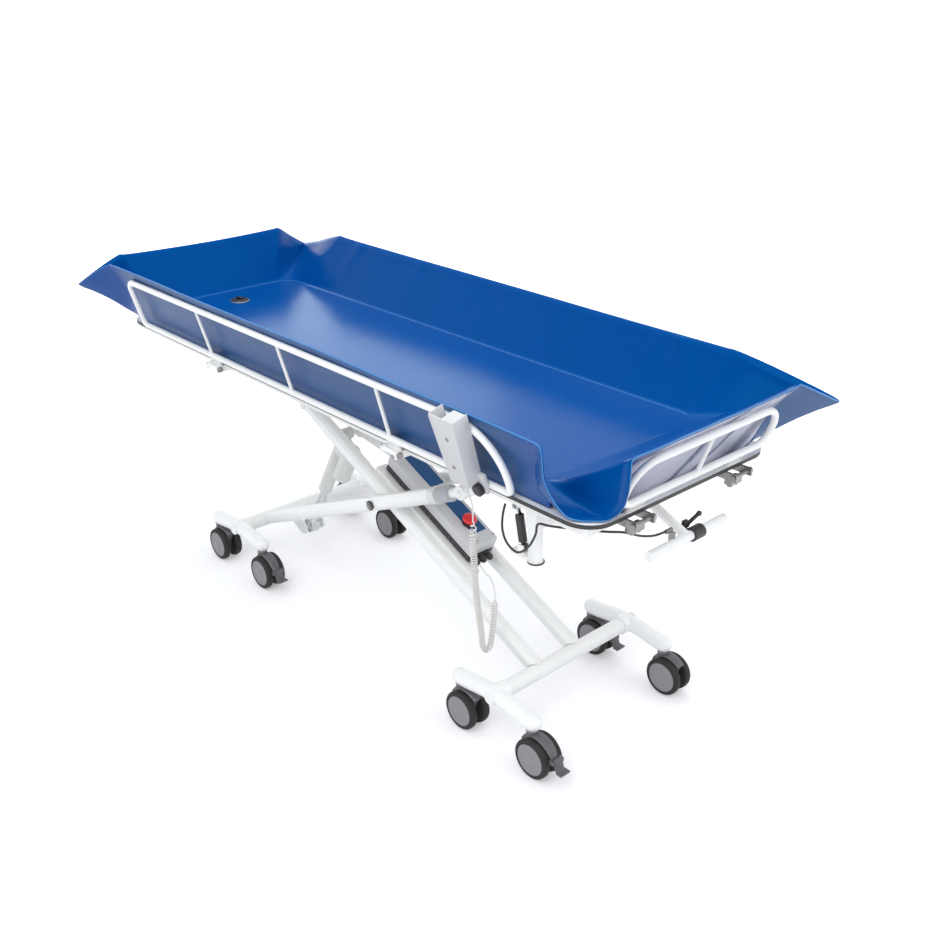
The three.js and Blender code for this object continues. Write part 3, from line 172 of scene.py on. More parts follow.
def build_wear_group():
    """A mask of worn, paler edges, from how sharply the surface turns."""
    tree, start, end = new_group(
        "edge_wear",
        [
            ("Low", "NodeSocketFloat", 0.52),
            ("High", "NodeSocketFloat", 0.62),
            ("Amount", "NodeSocketFloat", 0.3),
        ],
        [("Mask", "NodeSocketFloat")],
    )
    point = tree.nodes.new("ShaderNodeNewGeometry").outputs["Pointiness"]
    spread = tree.nodes.new("ShaderNodeMapRange")
    tree.links.new(point, spread.inputs["Value"])
    tree.links.new(start.outputs["Low"], spread.inputs["From Min"])
    tree.links.new(start.outputs["High"], spread.inputs["From Max"])
    place = tree.nodes.new("ShaderNodeTexCoord").outputs["Object"]
    patchy = noise_node(tree, place, 60.0, 3.0)
    mask = math_node(tree, "MULTIPLY", spread.outputs[0], patchy)
    mask = math_node(tree, "MULTIPLY", mask, start.outputs["Amount"])
    tree.links.new(mask, end.inputs["Mask"])
    return tree


UNEVEN = build_uneven_group()
GRAIN = build_grain_group()
WEAR = build_wear_group()


def put_group(tree, group, **values):
    node = tree.nodes.new("ShaderNodeGroup")
    node.node_tree = group
    for label, value in values.items():
        node.inputs[label.replace("_", " ")].default_value = value
    return node


def finish_material(
    name, colour, roughness, metallic=0.0, drift=0.05, rough_drift=0.06, drift_scale=14.0,
    grain=900.0, grain_strength=0.1, wave=30.0, wave_share=0.0,
    worn=None, wear_amount=0.3, coat=0.0, coat_roughness=0.1,
):
    """A finish with uneven colour and roughness, a fine grain and, if asked, paler worn edges."""
    material = bpy.data.materials.new(name)
    material.use_nodes = True
    tree = material.node_tree
    shader = tree.nodes["Principled BSDF"]
    shader.inputs["Metallic"].default_value = metallic
    shader.inputs["Coat Weight"].default_value = coat
    shader.inputs["Coat Roughness"].default_value = coat_roughness
    base = put_group(
        tree, UNEVEN, Colour=(*colour, 1), Colour_drift=drift, Roughness=roughness,
        Roughness_drift=rough_drift, Scale=drift_scale)
    shown = base.outputs["Colour"]
    if worn is not None:
        wear = put_group(tree, WEAR, Amount=wear_amount)
        shown = mix_colours(tree, wear.outputs["Mask"], shown, (*worn, 1))
    tree.links.new(shown, shader.inputs["Base Color"])
    tree.links.new(base.outputs["Roughness"], shader.inputs["Roughness"])
    fine = put_group(
        tree, GRAIN, Scale=grain, Strength=grain_strength, Wave_scale=wave, Wave_share=wave_share)
    tree.links.new(fine.outputs["Normal"], shader.inputs["Normal"])
    return material


def srgb(red, green, blue):
    return tuple(
        value / 12.92 if value <= 0.04045 else ((value + 0.055) / 1.055) ** 2.4
        for value in (red / 255, green / 255, blue / 255)
    )


WHITE_PAINT = finish_material(
    "white_powder_coat", srgb(247, 247, 246), 0.34, drift=0.03, grain=700, grain_strength=0.12,
    wave=160, wave_share=1.4, worn=srgb(205, 203, 198), wear_amount=0.5, coat=0.15, coat_roughness=0.2)
BOARD_WHITE = finish_material(
    "board_laminate", srgb(243, 243, 241), 0.3, drift=0.02, grain=1400, grain_strength=0.05)
BOARD_EDGE = finish_material(
    "board_core_edge", srgb(44, 42, 44), 0.5, drift=0.2, grain=900, grain_strength=0.2)
GREY_NYLON = finish_material(
    "castor_nylon", srgb(92, 90, 93), 0.46, drift=0.1, grain=1200, grain_strength=0.25,
    worn=srgb(120, 121, 124), wear_amount=0.5)
TYRE_RUBBER = finish_material(
    "tyre_rubber", srgb(33, 31, 32), 0.72, drift=0.14, drift_scale=40, grain=1500, grain_strength=0.3,
    worn=srgb(58, 56, 57), wear_amount=0.4)
HUB_GREY = finish_material(
    "hub_cap_grey", srgb(138, 135, 139), 0.42, drift=0.06, grain=1300, grain_strength=0.15)
BOX_GREY = finish_material(
    "box_grey", srgb(206, 206, 208), 0.46, drift=0.04, grain=1500, grain_strength=0.22)
PANEL_BLUE = finish_material(
    "panel_blue", srgb(0, 76, 132), 0.36, drift=0.06, grain=1600, grain_strength=0.08)
BLACK_PLASTIC = finish_material(
    "black_plastic", srgb(38, 38, 40), 0.45, drift=0.12, grain=1400, grain_strength=0.25,
    worn=srgb(70, 70, 72), wear_amount=0.4)
STOP_RED = finish_material(
    "stop_button_red", srgb(232, 30, 40), 0.3, drift=0.05, grain=1600, grain_strength=0.06, coat=0.3)
BRIGHT_STEEL = finish_material(
    "bright_steel", srgb(198, 200, 203), 0.2, metallic=1.0, drift=0.05, rough_drift=0.1,
    grain=600, grain_strength=0.04)
ZINC_STEEL = finish_material(
    "zinc_steel", srgb(142, 140, 138), 0.36, metallic=0.9, drift=0.16, rough_drift=0.15, drift_scale=70,
    grain=700, grain_strength=0.1)
CORD_BLACK = finish_material(
    "cable_black", srgb(30, 30, 32), 0.42, drift=0.1, grain=1500, grain_strength=0.15)
CORD_GREY = finish_material(
    "curly_cord_grey", srgb(226, 224, 220), 0.4, drift=0.05, grain=1500, grain_strength=0.12)
HANDSET_GREY = finish_material(
    "handset_grey", srgb(176, 179, 183), 0.44, drift=0.05, grain=1500, grain_strength=0.2)
ACTUATOR_GREY = finish_material(
    "actuator_grey", srgb(222, 222, 220), 0.44, drift=0.04, grain=1400, grain_strength=0.2)
PAD_GREY = finish_material(
    "key_pad_grey", srgb(92, 98, 106), 0.4, drift=0.05, grain=1500, grain_strength=0.12)


# Mesh helpers. P takes millimetres and gives metres. Radii, bevels and turned profiles are in metres.


def P(x, y, z):
    return Vector((x, y, z)) * 0.001


def bent(points, radii, steps=8):
    """A path with round bends: points with a radius for each inner one."""
    path = [points[0]]
    for index in range(1, len(points) - 1):
        before, corner, after = points[index - 1], points[index], points[index + 1]
        back = (before - corner).normalized()
        on = (after - corner).normalized()
        half = back.angle(on) / 2
        radius = radii[index - 1]
        reach = radius / math.tan(half)
        centre = corner + (back + on).normalized() * (radius / math.sin(half))
        first = corner + back * reach - centre
        turn = math.pi - 2 * half
        axis = back.cross(on).normalized()
        for step in range(steps + 1):
            path.append(centre + Matrix.Rotation(-turn * step / steps, 3, axis) @ first)
    path.append(points[-1])
    return path


def frames_along(path):
    """A frame at each point of a path, turned as little as possible from one to the next."""
    tangents = []
    for index, point in enumerate(path):
        before = path[max(index - 1, 0)]
        after = path[min(index + 1, len(path) - 1)]
        tangents.append((after - before).normalized())
    side = tangents[0].orthogonal().normalized()
    frames = []
    for point, tangent in zip(path, tangents):
        side = (side - tangent * side.dot(tangent)).normalized()
        up = tangent.cross(side)
        frames.append(Matrix((
            (side.x, up.x, tangent.x, point.x), (side.y, up.y, tangent.y, point.y),
            (side.z, up.z, tangent.z, point.z), (0, 0, 0, 1))))
    return frames


def linked_edges(verts):
    """The edges at some vertices, each one once and always in the same order."""
    return list(dict.fromkeys(edge for vert in verts for edge in vert.link_edges))


def sweep(bm, path, radius, sides=20, radii=None):
    """A round bar along a path. radii gives the radius at each point where it changes."""
    frames = frames_along(path)
    sizes = radii or [radius] * len(path)
    last = frames[0] @ Matrix.Scale(sizes[0], 4)
    start = bmesh.ops.create_circle(bm, segments=sides, radius=1.0)["verts"]
    bmesh.ops.transform(bm, matrix=last, verts=start)
    edges = linked_edges(start)
    bmesh.ops.edgeloop_fill(bm, edges=edges)
    for frame_here, size in zip(frames[1:], sizes[1:]):
        grown = bmesh.ops.extrude_edge_only(bm, edges=edges)["geom"]
        verts = [item for item in grown if isinstance(item, bmesh.types.BMVert)]
        chosen = set(verts)
        edges = [
            item for item in grown
            if isinstance(item, bmesh.types.BMEdge) and item.verts[0] in chosen and item.verts[1] in chosen
        ]
        here = frame_here @ Matrix.Scale(size, 4)
        bmesh.ops.transform(bm, matrix=here @ last.inverted(), verts=verts)
        last = here
    bmesh.ops.edgeloop_fill(bm, edges=edges)


def rounded_bar(bm, start, end, radius, sides=24, bevel=0.001):
    """A straight round bar with softened ends."""
    along = (end - start).normalized()
    soft = min(bevel, radius * 0.6)
    path, radii = [], []
    for turn in (0, 30, 60, 90):
        angle = math.radians(turn)
        path.append(start + along * soft * (1 - math.cos(angle)))
        radii.append(radius - soft + soft * math.sin(angle))
    tail = [(end - along * (point - start).length, size) for point, size in zip(path, radii)]
    for point, size in reversed(tail):
        path.append(point)
        radii.append(size)
    sweep(bm, path, radius, sides, radii)


def block(bm, low, high, bevel=0.0015, segments=2, turn=None):
    """A block between two corners with rounded edges, turned by a matrix if one is given."""
    size = high - low
    shape = Matrix.Translation((low + high) / 2) @ Matrix.Diagonal((*size, 1))
    verts = bmesh.ops.create_cube(bm, size=1.0, matrix=shape)["verts"]
    edges = linked_edges(verts)
    made = bmesh.ops.bevel(
        bm, geom=edges, offset=min(bevel, min(size) * 0.45), segments=segments, profile=0.5,
        affect="EDGES", material=-1)
    if turn is not None:
        rounded = {vert for face in made["faces"] for vert in face.verts}
        bmesh.ops.transform(bm, matrix=turn, verts=list(rounded | {vert for vert in verts if vert.is_valid}))


def ribs(bm, place, axis, count, low, high, bevel, segments=1):
    """The same block repeated round an axis through a place."""
    for step in range(count):
        turn = Matrix.Translation(place) @ Matrix.Rotation(math.tau * step / count, 4, axis)
        block(bm, low, high, bevel, segments, turn)


def spun(bm, profile, axis_start, axis, steps=32):
    """A turned shape: profile is (radius, height) pairs from one end of the axis to the other."""
    axis = axis.normalized()
    side = axis.orthogonal().normalized()
    verts = [bm.verts.new(axis_start + axis * height + side * radius) for radius, height in profile]
    edges = [bm.edges.new(pair) for pair in zip(verts, verts[1:])]
    before = set(bm.verts) - set(verts)
    bmesh.ops.spin(
        bm, geom=verts + edges, cent=axis_start, axis=axis, angle=math.tau, steps=steps, use_merge=True)
    made = [vert for vert in bm.verts if vert not in before]
    bmesh.ops.remove_doubles(bm, verts=made, dist=0.000002)


def plate(bm, outline, normal_low, normal_high, bevel=0.0, segments=2):
    """A flat plate: outline is a list of points, raised by the two offsets."""
    verts = [bm.verts.new(point + normal_low) for point in outline]
    face = bm.faces.new(verts)
    grown = bmesh.ops.extrude_face_region(bm, geom=[face])["geom"]
    top = [item for item in grown if isinstance(item, bmesh.types.BMVert)]
    bmesh.ops.translate(bm, vec=normal_high - normal_low, verts=top)
    if bevel:
        raised = set(top)
        rim = [
            edge for edge in linked_edges(top + verts)
            if (edge.verts[0] in raised) == (edge.verts[1] in raised)
        ]
        bmesh.ops.bevel(
            bm, geom=rim, offset=bevel, segments=segments, profile=0.5, affect="EDGES", material=-1)


def placed(bm, matrix, work):
    """Runs a step that adds geometry and moves what it added by a matrix."""
    before = set(bm.verts)
    work()
    bmesh.ops.transform(bm, matrix=matrix, verts=[vert for vert in bm.verts if vert not in before])


def make_object(name, bm, materials, corner=40, smooth=True):
    bmesh.ops.recalc_face_normals(bm, faces=bm.faces)
    mesh = bpy.data.meshes.new(name)
    bm.to_mesh(mesh)
    bm.free()
    for material in materials:
        mesh.materials.append(material)
    if smooth:
        mesh.shade_smooth()
        mesh.set_sharp_from_angle(angle=math.radians(corner))
    made = bpy.data.objects.new(name, mesh)
    bpy.context.scene.collection.objects.link(made)
    return made


def fit_piece(made, body, nodes=()):
    """Rides on its CAD body and stands for the CAD nodes named, which it hides."""
    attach(made, body)
    if nodes:
        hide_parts(*nodes)
    return made


def smooth_node(node, material, body, corner=35, bevel=0.0):
    """The CAD node's own shape with its facets merged and shaded smooth, and its edges softened where a bevel
    is given.
    """
    bm = bmesh.new()
    bm.from_mesh(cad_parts[node].data)
    bmesh.ops.remove_doubles(bm, verts=bm.verts, dist=0.00001)
    bmesh.ops.dissolve_limit(bm, angle_limit=math.radians(1), verts=bm.verts, edges=bm.edges)
    made = make_object(f"{node}_finished", bm, [material], corner)
    if bevel:
        soft = made.modifiers.new("softened_edges", "BEVEL")
        soft.width = bevel
        soft.segments = 2
        soft.limit_method = "ANGLE"
        soft.angle_limit = math.radians(55)
    return fit_piece(made, body, [node])


def tint(made, index, chosen):
    """Gives the faces that a test picks another of the piece's materials."""
    for face in made.data.polygons:
        if chosen(face):
            face.material_index = index


# Studio

# Each lamp: name, place, what it points at, size, power
LAMPS = (
    ("key_softbox", (1.6, -2.6, 3.6), (0, 0, 0.5), 2.6, 58),
    ("top_softbox", (-0.6, 0.6, 4.2), (0, 0, 0.5), 2.6, 46),
    ("side_softbox", (3.4, 1.6, 2.2), (0.2, 0, 0.5), 2.0, 16),
    ("sheen_softbox", (-3.7, 2.3, 2.05), (-0.2, 0, 0.75), 2.3, 21),
)
FLOOR_FADE = (("From Min", 1.25), ("From Max", 2.8), ("To Min", 0.25), ("To Max", 1.0))


def seen_rays(tree):
    """1 for a ray from the camera, off a glossy surface or through a clear one."""
    rays = tree.nodes.new("ShaderNodeLightPath")
    seen = math_node(tree, "MAXIMUM", rays.outputs["Is Camera Ray"], rays.outputs["Is Glossy Ray"])
    return math_node(tree, "MAXIMUM", seen, rays.outputs["Is Transmission Ray"])


def mix_shaders(tree, share, first, second, output):
    """Mixes two shaders by a share and puts the result into the tree's output."""
    mixed = tree.nodes.new("ShaderNodeMixShader")
    for index, socket in enumerate((share, first, second)):
        tree.links.new(socket, mixed.inputs[index])
    tree.links.new(mixed.outputs[0], tree.nodes.new(output).inputs["Surface"])


def make_world():
    """A soft fill light, and plain white wherever the background itself is seen."""
    world = bpy.data.worlds.new("studio_world")
    bpy.context.scene.world = world
    world.use_nodes = True
    tree = world.node_tree
    tree.nodes.clear()
    fill = tree.nodes.new("ShaderNodeBackground")
    fill.inputs["Color"].default_value = (0.93, 0.96, 1.0, 1)
    fill.inputs["Strength"].default_value = 0.82
    white = tree.nodes.new("ShaderNodeBackground")
    white.inputs["Color"].default_value = (1, 1, 1, 1)
    mix_shaders(tree, seen_rays(tree), fill.outputs[0], white.outputs[0], "ShaderNodeOutputWorld")


def make_floor():
    """A pale disc that keeps the shadow and fades to white away from the trolley."""
    floor_paper = bpy.data.materials.new("studio_floor")
    floor_paper.use_nodes = True
    tree = floor_paper.node_tree
    tree.nodes.clear()
    matt = tree.nodes.new("ShaderNodeBsdfDiffuse")
    matt.inputs["Color"].default_value = (0.86, 0.86, 0.87, 1)
    reach = tree.nodes.new("ShaderNodeVectorMath")
    reach.operation = "LENGTH"
    tree.links.new(tree.nodes.new("ShaderNodeTexCoord").outputs["Object"], reach.inputs[0])
    fade = tree.nodes.new("ShaderNodeMapRange")
    fade.interpolation_type = "SMOOTHSTEP"
    for label, value in FLOOR_FADE:
        fade.inputs[label].default_value = value
    tree.links.new(reach.outputs["Value"], fade.inputs["Value"])
    glow = tree.nodes.new("ShaderNodeEmission")
    tree.links.new(fade.outputs[0], glow.inputs["Strength"])
    lit = tree.nodes.new("ShaderNodeAddShader")
    tree.links.new(matt.outputs[0], lit.inputs[0])
    tree.links.new(glow.outputs[0], lit.inputs[1])
    mix_shaders(tree, seen_rays(tree), matt.outputs[0], lit.outputs[0], "ShaderNodeOutputMaterial")
    bm = bmesh.new()
    bmesh.ops.create_circle(bm, cap_ends=True, segments=96, radius=9)
    floor = make_object("studio_floor", bm, [floor_paper], smooth=False)
    floor.location.z = -0.0005


def make_lamps():
    """Three softboxes that light everything, and one that only shines on glossy surfaces."""
    for name, place, aim, size, power in LAMPS:
        lamp = bpy.data.lights.new(name, "AREA")
        lamp.energy = power
        lamp.size = size
        holder = bpy.data.objects.new(name, lamp)
        bpy.context.scene.collection.objects.link(holder)
        holder.location = place
        holder.rotation_euler = (Vector(aim) - Vector(place)).to_track_quat("-Z", "Y").to_euler()
        if name == "sheen_softbox":
            lamp.color = (0.74, 0.95, 1.0)
            holder.visible_diffuse = False


bpy.context.scene.view_settings.view_transform = "Standard"
make_world()
make_floor()
make_lamps()

# Tub liner: one welded sheet tub with its corners folded out


def liner_material(name, colour, roughness, specular, tint, fold_scale, fold_share):
    material = bpy.data.materials.new(name)
    material.use_nodes = True
    tree = material.node_tree
    shader = tree.nodes["Principled BSDF"]
    base = put_group(
        tree, UNEVEN, Colour=(*colour, 1), Colour_drift=0.08, Roughness=roughness,
        Roughness_drift=0.08, Scale=5.0)
    tree.links.new(base.outputs["Colour"], shader.inputs["Base Color"])
    tree.links.new(base.outputs["Roughness"], shader.inputs["Roughness"])
    shader.inputs["Specular IOR Level"].default_value = specular
    shader.inputs["Specular Tint"].default_value = (*tint, 1)
    fine = put_group(
        tree, GRAIN, Scale=520.0, Strength=0.16, Wave_scale=fold_scale, Wave_share=fold_share)
    tree.links.new(fine.outputs["Normal"], shader.inputs["Normal"])
    return material


LINER_BLUE = liner_material("cobalt_liner_sheet", srgb(0, 76, 151), 0.2, 0.16, (0.05, 0.6, 0.95), 9.0, 9.0)
LINER_BACK = liner_material("liner_sheet_back", srgb(36, 78, 130), 0.42, 0.4, (0.8, 0.85, 1.0), 14.0, 6.0)
LINER_PALE = liner_material(
    "liner_sheet_back_pale", srgb(196, 198, 214), 0.4, 0.4, (1.0, 1.0, 1.0), 14.0, 6.0)
# Painted highlight: a lighter blue laid on the floor weld and on the rim's top band, standing for the
# highlight lines along them.
SEAM_HIGHLIGHT_BLUE = liner_material("liner_seam_painted_highlight", srgb(62, 132, 198), 0.3, 0.5, (0.8, 0.9, 1.0), 14.0, 2.0)
OUTSIDE_END_BLUE = srgb(0, 70, 142)
FOLD_SHADE_NAVY = srgb(34, 58, 104)

# Painted shade along the folds of the foot end's skin, partly the sheet's blue showing through: place across
# it at a given level, lean and half width
FOLD_LEVEL = 0.79
FOLD_SHADE_LINES = ((0.03, 0.75, 0.02), (0.232, 0.55, 0.042), (-0.242, 0.55, 0.034), (0.12, 0.9, 0.011))


def colour_over(material, share, colour):
    """Lays a colour over the material's own one by a share."""
    tree = material.node_tree
    socket = tree.nodes["Principled BSDF"].inputs["Base Color"]
    plain = socket.links[0].from_socket
    tree.links.new(mix_colours(tree, share, plain, (*colour, 1)), socket)


def object_axes(tree):
    axes = tree.nodes.new("ShaderNodeSeparateXYZ")
    tree.links.new(tree.nodes.new("ShaderNodeTexCoord").outputs["Object"], axes.inputs[0])
    return axes.outputs


def add_end_colour(material):
    """The sheet's outside turns to its front colour at the open corner and at the head end."""
    tree = material.node_tree
    axes = object_axes(tree)
    to_head = math_node(tree, "MULTIPLY", axes["X"], -1.0)
    shares = []
    for along, start, end in ((axes["X"], 0.74, 0.84), (to_head, 0.79, 0.9)):
        reach = tree.nodes.new("ShaderNodeMapRange")
        reach.interpolation_type = "SMOOTHSTEP"
        reach.inputs["From Min"].default_value = start
        reach.inputs["From Max"].default_value = end
        tree.links.new(along, reach.inputs["Value"])
        shares.append(reach.outputs[0])
    near = math_node(tree, "LESS_THAN", axes["Y"], -0.2)
    corner = math_node(tree, "MULTIPLY", shares[0], near)
    colour_over(material, math_node(tree, "MAXIMUM", corner, shares[1]), OUTSIDE_END_BLUE)


def add_painted_fold_shade(material):
    """Painted shade in the creases of the foot end's skin, leaning across it, partly the sheet's blue showing
    through.
    """
    tree = material.node_tree
    axes = object_axes(tree)
    place = tree.nodes.new("ShaderNodeTexCoord").outputs["Object"]
    wobble = math_node(tree, "SUBTRACT", noise_node(tree, place, 26, 3), 0.5)
    across = math_node(tree, "MULTIPLY_ADD", wobble, 0.03, axes["Y"])
    height = math_node(tree, "SUBTRACT", axes["Z"], FOLD_LEVEL)
    total = 0.0
    for middle, lean, width in FOLD_SHADE_LINES:
        line = math_node(tree, "MULTIPLY_ADD", height, lean, middle)
        near = math_node(tree, "DIVIDE", math_node(tree, "SUBTRACT", across, line), width)
        fall = math_node(tree, "MINIMUM", math_node(tree, "MULTIPLY", near, near), 1.0)
        total = math_node(tree, "MAXIMUM", total, math_node(tree, "SUBTRACT", 1.0, fall))
    # Navy laid over the pale back along each fold: painted shade, partly the blue of the sheet showing
    # through.
    colour_over(material, math_node(tree, "MULTIPLY", total, 0.8), FOLD_SHADE_NAVY)


add_end_colour(LINER_BACK)
# The foot end's skin gets its painted fold shade.
add_painted_fold_shade(LINER_PALE)


def clamp(value, low=0, high=1):
    return max(min(value, high), low)


def ease(share):
    """A share from 0 to 1 that starts and ends gently."""
    return share * share * (3 - 2 * share)


def spread(points, count):
    """count places along a smooth line through points, even from point to point."""
    places = []
    last = len(points) - 1
    for index in range(count):
        share = index / count * last
        step = min(int(share), last - 1)
        t = share - step
        before = points[max(step - 1, 0)]
        here, on = points[step], points[step + 1]
        after = points[min(step + 2, last)]
        places.append(0.5 * (
            2 * here + (on - before) * t + (2 * before - 5 * here + 4 * on - after) * t * t
            + (3 * here - before - 3 * on + after) * t * t * t))
    return places


# The tub's floor edge and the deck edge that its outer skin hangs to, in millimetres
FLOOR_HEAD, FLOOR_FOOT, FLOOR_HALF, FLOOR_LEVEL = -922, 789, 267, 750
FLOOR_MIDDLE = -66
SKIRT_HEAD, SKIRT_FOOT, SKIRT_HALF, SKIRT_LEVEL = -946, 914, 292, 725
CORNER = 60
FAR_FOOT_CORNER = 28
WALL = 5.4

# Shares of the wall's height that have a ring, with the hem between 0.9 and 0.95
LEVELS = (0.03, 0.08, 0.16, 0.26, 0.37, 0.48, 0.59, 0.70, 0.80, 0.875, 0.91, 0.925, 0.96, 1.0)

# Places round the tub: along a side, along an end and round a folded corner
SIDE_COUNT, END_COUNT, FOLD_COUNT = 120, 64, 30

# The rim, leg by leg from the near side's head end. The foot end's near corner hangs open to the deck.
RIM_NEAR = (
    (-900, -357, 905), (-820, -356, 906), (-400, -356.5, 904), (0, -357, 902), (400, -357, 899),
    (700, -358, 897), (862, -363, 897),
)
RIM_OPEN_CORNER = (
    (862, -363, 897), (880, -366, 893), (884, -364, 870), (880, -352, 822), (886, -330, 775),
    (899, -310, 742), (915, -292, 732), (938, -270, 731), (962, -256, 738), (988, -256, 766),
    (1008, -268, 808), (1019, -279, 850), (1023, -284, 884), (1022, -278, 892), (1022, -258, 894),
)
RIM_FOOT = (
    (1022, -258, 894), (1021, -150, 893), (1020, 0, 893), (1021, 150, 895), (1024, 255, 900),
)
RIM_FOOT_WING = (
    (1024, 255, 900), (1026, 268, 899), (1033, 345, 862), (1036.5, 404, 834), (1034.5, 409, 833),
    (985, 396, 850), (880, 370, 881), (802, 358, 897), (775, 356, 898),
)
RIM_FAR = (
    (775, 356, 898), (500, 355, 899), (200, 356, 901), (-100, 357, 903), (-400, 356, 905),
    (-650, 356, 907), (-735, 357, 908.5),
)
RIM_HEAD_FAR_WING = (
    (-735, 357, 908.5), (-755, 359, 908), (-830, 372, 888), (-930, 394, 858), (-1033, 409, 833),
    (-1036.5, 404, 834), (-1016, 345, 868), (-990, 292, 901), (-983, 272, 910.5),
)
RIM_HEAD = (
    (-983, 272, 910.5), (-980, 200, 908), (-978, 60, 905), (-978, -80, 905), (-980, -230, 907),
    (-983, -285, 909),
)
RIM_HEAD_NEAR_WING = (
    (-983, -285, 909), (-988, -298, 907), (-1012, -348, 875), (-1036.5, -404, 835),
    (-1033, -409, 834), (-1000, -398, 855), (-945, -372, 889), (-912, -358, 905), (-900, -357, 905),
)

# Creases of the far wall: where along it, how far each leans, its depth and its width
WALL_CREASES = (
    (655, -90, 6.5, 19), (585, 60, 3.2, 17), (250, -50, 2.4, 18), (-330, 60, 2.6, 18), (-640, 80, 4.6, 20),
)

# Creases of the foot end's outer skin, said in the same way
SKIN_CREASES = ((30, 74, 5.5, 7), (-120, 60, 2.6, 9), (165, 86, 3.4, 10), (205, 70, 3.0, 8))


def floor_edge(start, end, count):
    start, end = Vector((*start, FLOOR_LEVEL)), Vector((*end, FLOOR_LEVEL))
    return [start.lerp(end, index / count) for index in range(count)]


def floor_corner(x, y, start, count):
    centre = Vector((x - math.copysign(CORNER, x), y - math.copysign(CORNER, y), FLOOR_LEVEL))
    arc = []
    for index in range(count):
        angle = math.radians(start + 90 * index / count)
        arc.append(centre + Vector((math.cos(angle), math.sin(angle), 0)) * CORNER)
    return arc


def liner_rings():
    """The floor's edge and the rim as lists of matching places, round the tub."""
    head, foot, half = FLOOR_HEAD + CORNER, FLOOR_FOOT - CORNER, FLOOR_HALF - CORNER
    legs = (
        (floor_edge((head, -FLOOR_HALF), (foot, -FLOOR_HALF), SIDE_COUNT), RIM_NEAR),
        (floor_corner(FLOOR_FOOT, -FLOOR_HALF, -90, FOLD_COUNT * 2), RIM_OPEN_CORNER),
        (floor_edge((FLOOR_FOOT, -half), (FLOOR_FOOT, half), END_COUNT), RIM_FOOT),
        (floor_corner(FLOOR_FOOT, FLOOR_HALF, 0, FOLD_COUNT), RIM_FOOT_WING),
        (floor_edge((foot, FLOOR_HALF), (head, FLOOR_HALF), SIDE_COUNT), RIM_FAR),
        (floor_corner(FLOOR_HEAD, FLOOR_HALF, 90, FOLD_COUNT), RIM_HEAD_FAR_WING),
        (floor_edge((FLOOR_HEAD, half), (FLOOR_HEAD, -half), END_COUNT), RIM_HEAD),
        (floor_corner(FLOOR_HEAD, -FLOOR_HALF, 180, FOLD_COUNT), RIM_HEAD_NEAR_WING),
    )
    low, high = [], []
    for edge, rim in legs:
        low += edge
        high += spread([Vector(place) for place in rim], len(edge))
    return low, high


def liner_wave(place, share):
    """How far the sheet stands in or out, from slow folds that grow to the rim."""
    slow = noise.noise(Vector((place.x * 0.0042, place.y * 0.0042, place.z * 0.006 + 3.7)))
    quick = noise.noise(Vector((place.x * 0.017, place.y * 0.017, place.z * 0.004 + 9.1)))
    crease = 0.0
    if place.y > 150:
        for along, lean, depth, width in WALL_CREASES:
            off = (place.x - along - lean * (share - 0.8)) / width
            crease -= depth * share ** 1.6 * math.exp(-off * off)
    if share == 1.0:
        crease *= 0.35
    return (1.9 * slow + 1.0 * quick) * min(share * 3, 1) * (0.4 + 0.6 * share) + crease


def hem_depth(share, depth):
    return depth if 0.9 < share < 0.95 else 0.0


def skirt_foot(place):
    """Where the outer skin below a place of the rim meets the deck edge, and the way out from there."""
    corner = FAR_FOOT_CORNER if place.x > 0 and place.y > 0 else CORNER
    core = Vector((
        clamp(place.x, SKIRT_HEAD + corner, SKIRT_FOOT - corner),
        clamp(place.y, corner - SKIRT_HALF, SKIRT_HALF - corner), 0))
    away = Vector((place.x - core.x, place.y - core.y, 0))
    away = away.normalized() if away.length > 1e-6 else Vector((0, -1, 0))
    return Vector((core.x, core.y, SKIRT_LEVEL)) + away * corner, away


def hung_share(place):
    """1 where the sheet hangs down to the deck edge on the outside, 0 at the corner that lies open."""
    along_side = clamp((place.x - 838) / 84) if place.y < -250 else 0
    along_end = clamp((-170 - place.y) / 80) if place.x > 900 else 0
    return 1 - ease(max(along_side, along_end))


def drawn_in(ring, share):
    """A ring drawn in towards the middle of the tub."""
    return [
        Vector((FLOOR_MIDDLE + (place.x - FLOOR_MIDDLE) * share, place.y * share, place.z))
        for place in ring]


def skin_through(bm, rings):
    """One closed skin through rings that have the same number of places, filled at both ends."""
    count = len(rings[0])
    current = bmesh.ops.create_circle(bm, segments=count, radius=1.0)["verts"]
    for vert, place in zip(current, rings[0]):
        vert.co = place * 0.001
    edges = [bm.edges.get((current[i], current[(i + 1) % count])) for i in range(count)]
    bmesh.ops.edgeloop_fill(bm, edges=edges)
    for ring in rings[1:]:
        grown = bmesh.ops.extrude_edge_only(bm, edges=edges)["geom"]
        fresh = {item for item in grown if isinstance(item, bmesh.types.BMVert)}
        current = [
            next(edge.other_vert(vert) for edge in vert.link_edges if edge.other_vert(vert) in fresh)
            for vert in current]
        for vert, place in zip(current, ring):
            vert.co = place * 0.001
        edges = [bm.edges.get((current[i], current[(i + 1) % count])) for i in range(count)]
    bmesh.ops.edgeloop_fill(bm, edges=edges)


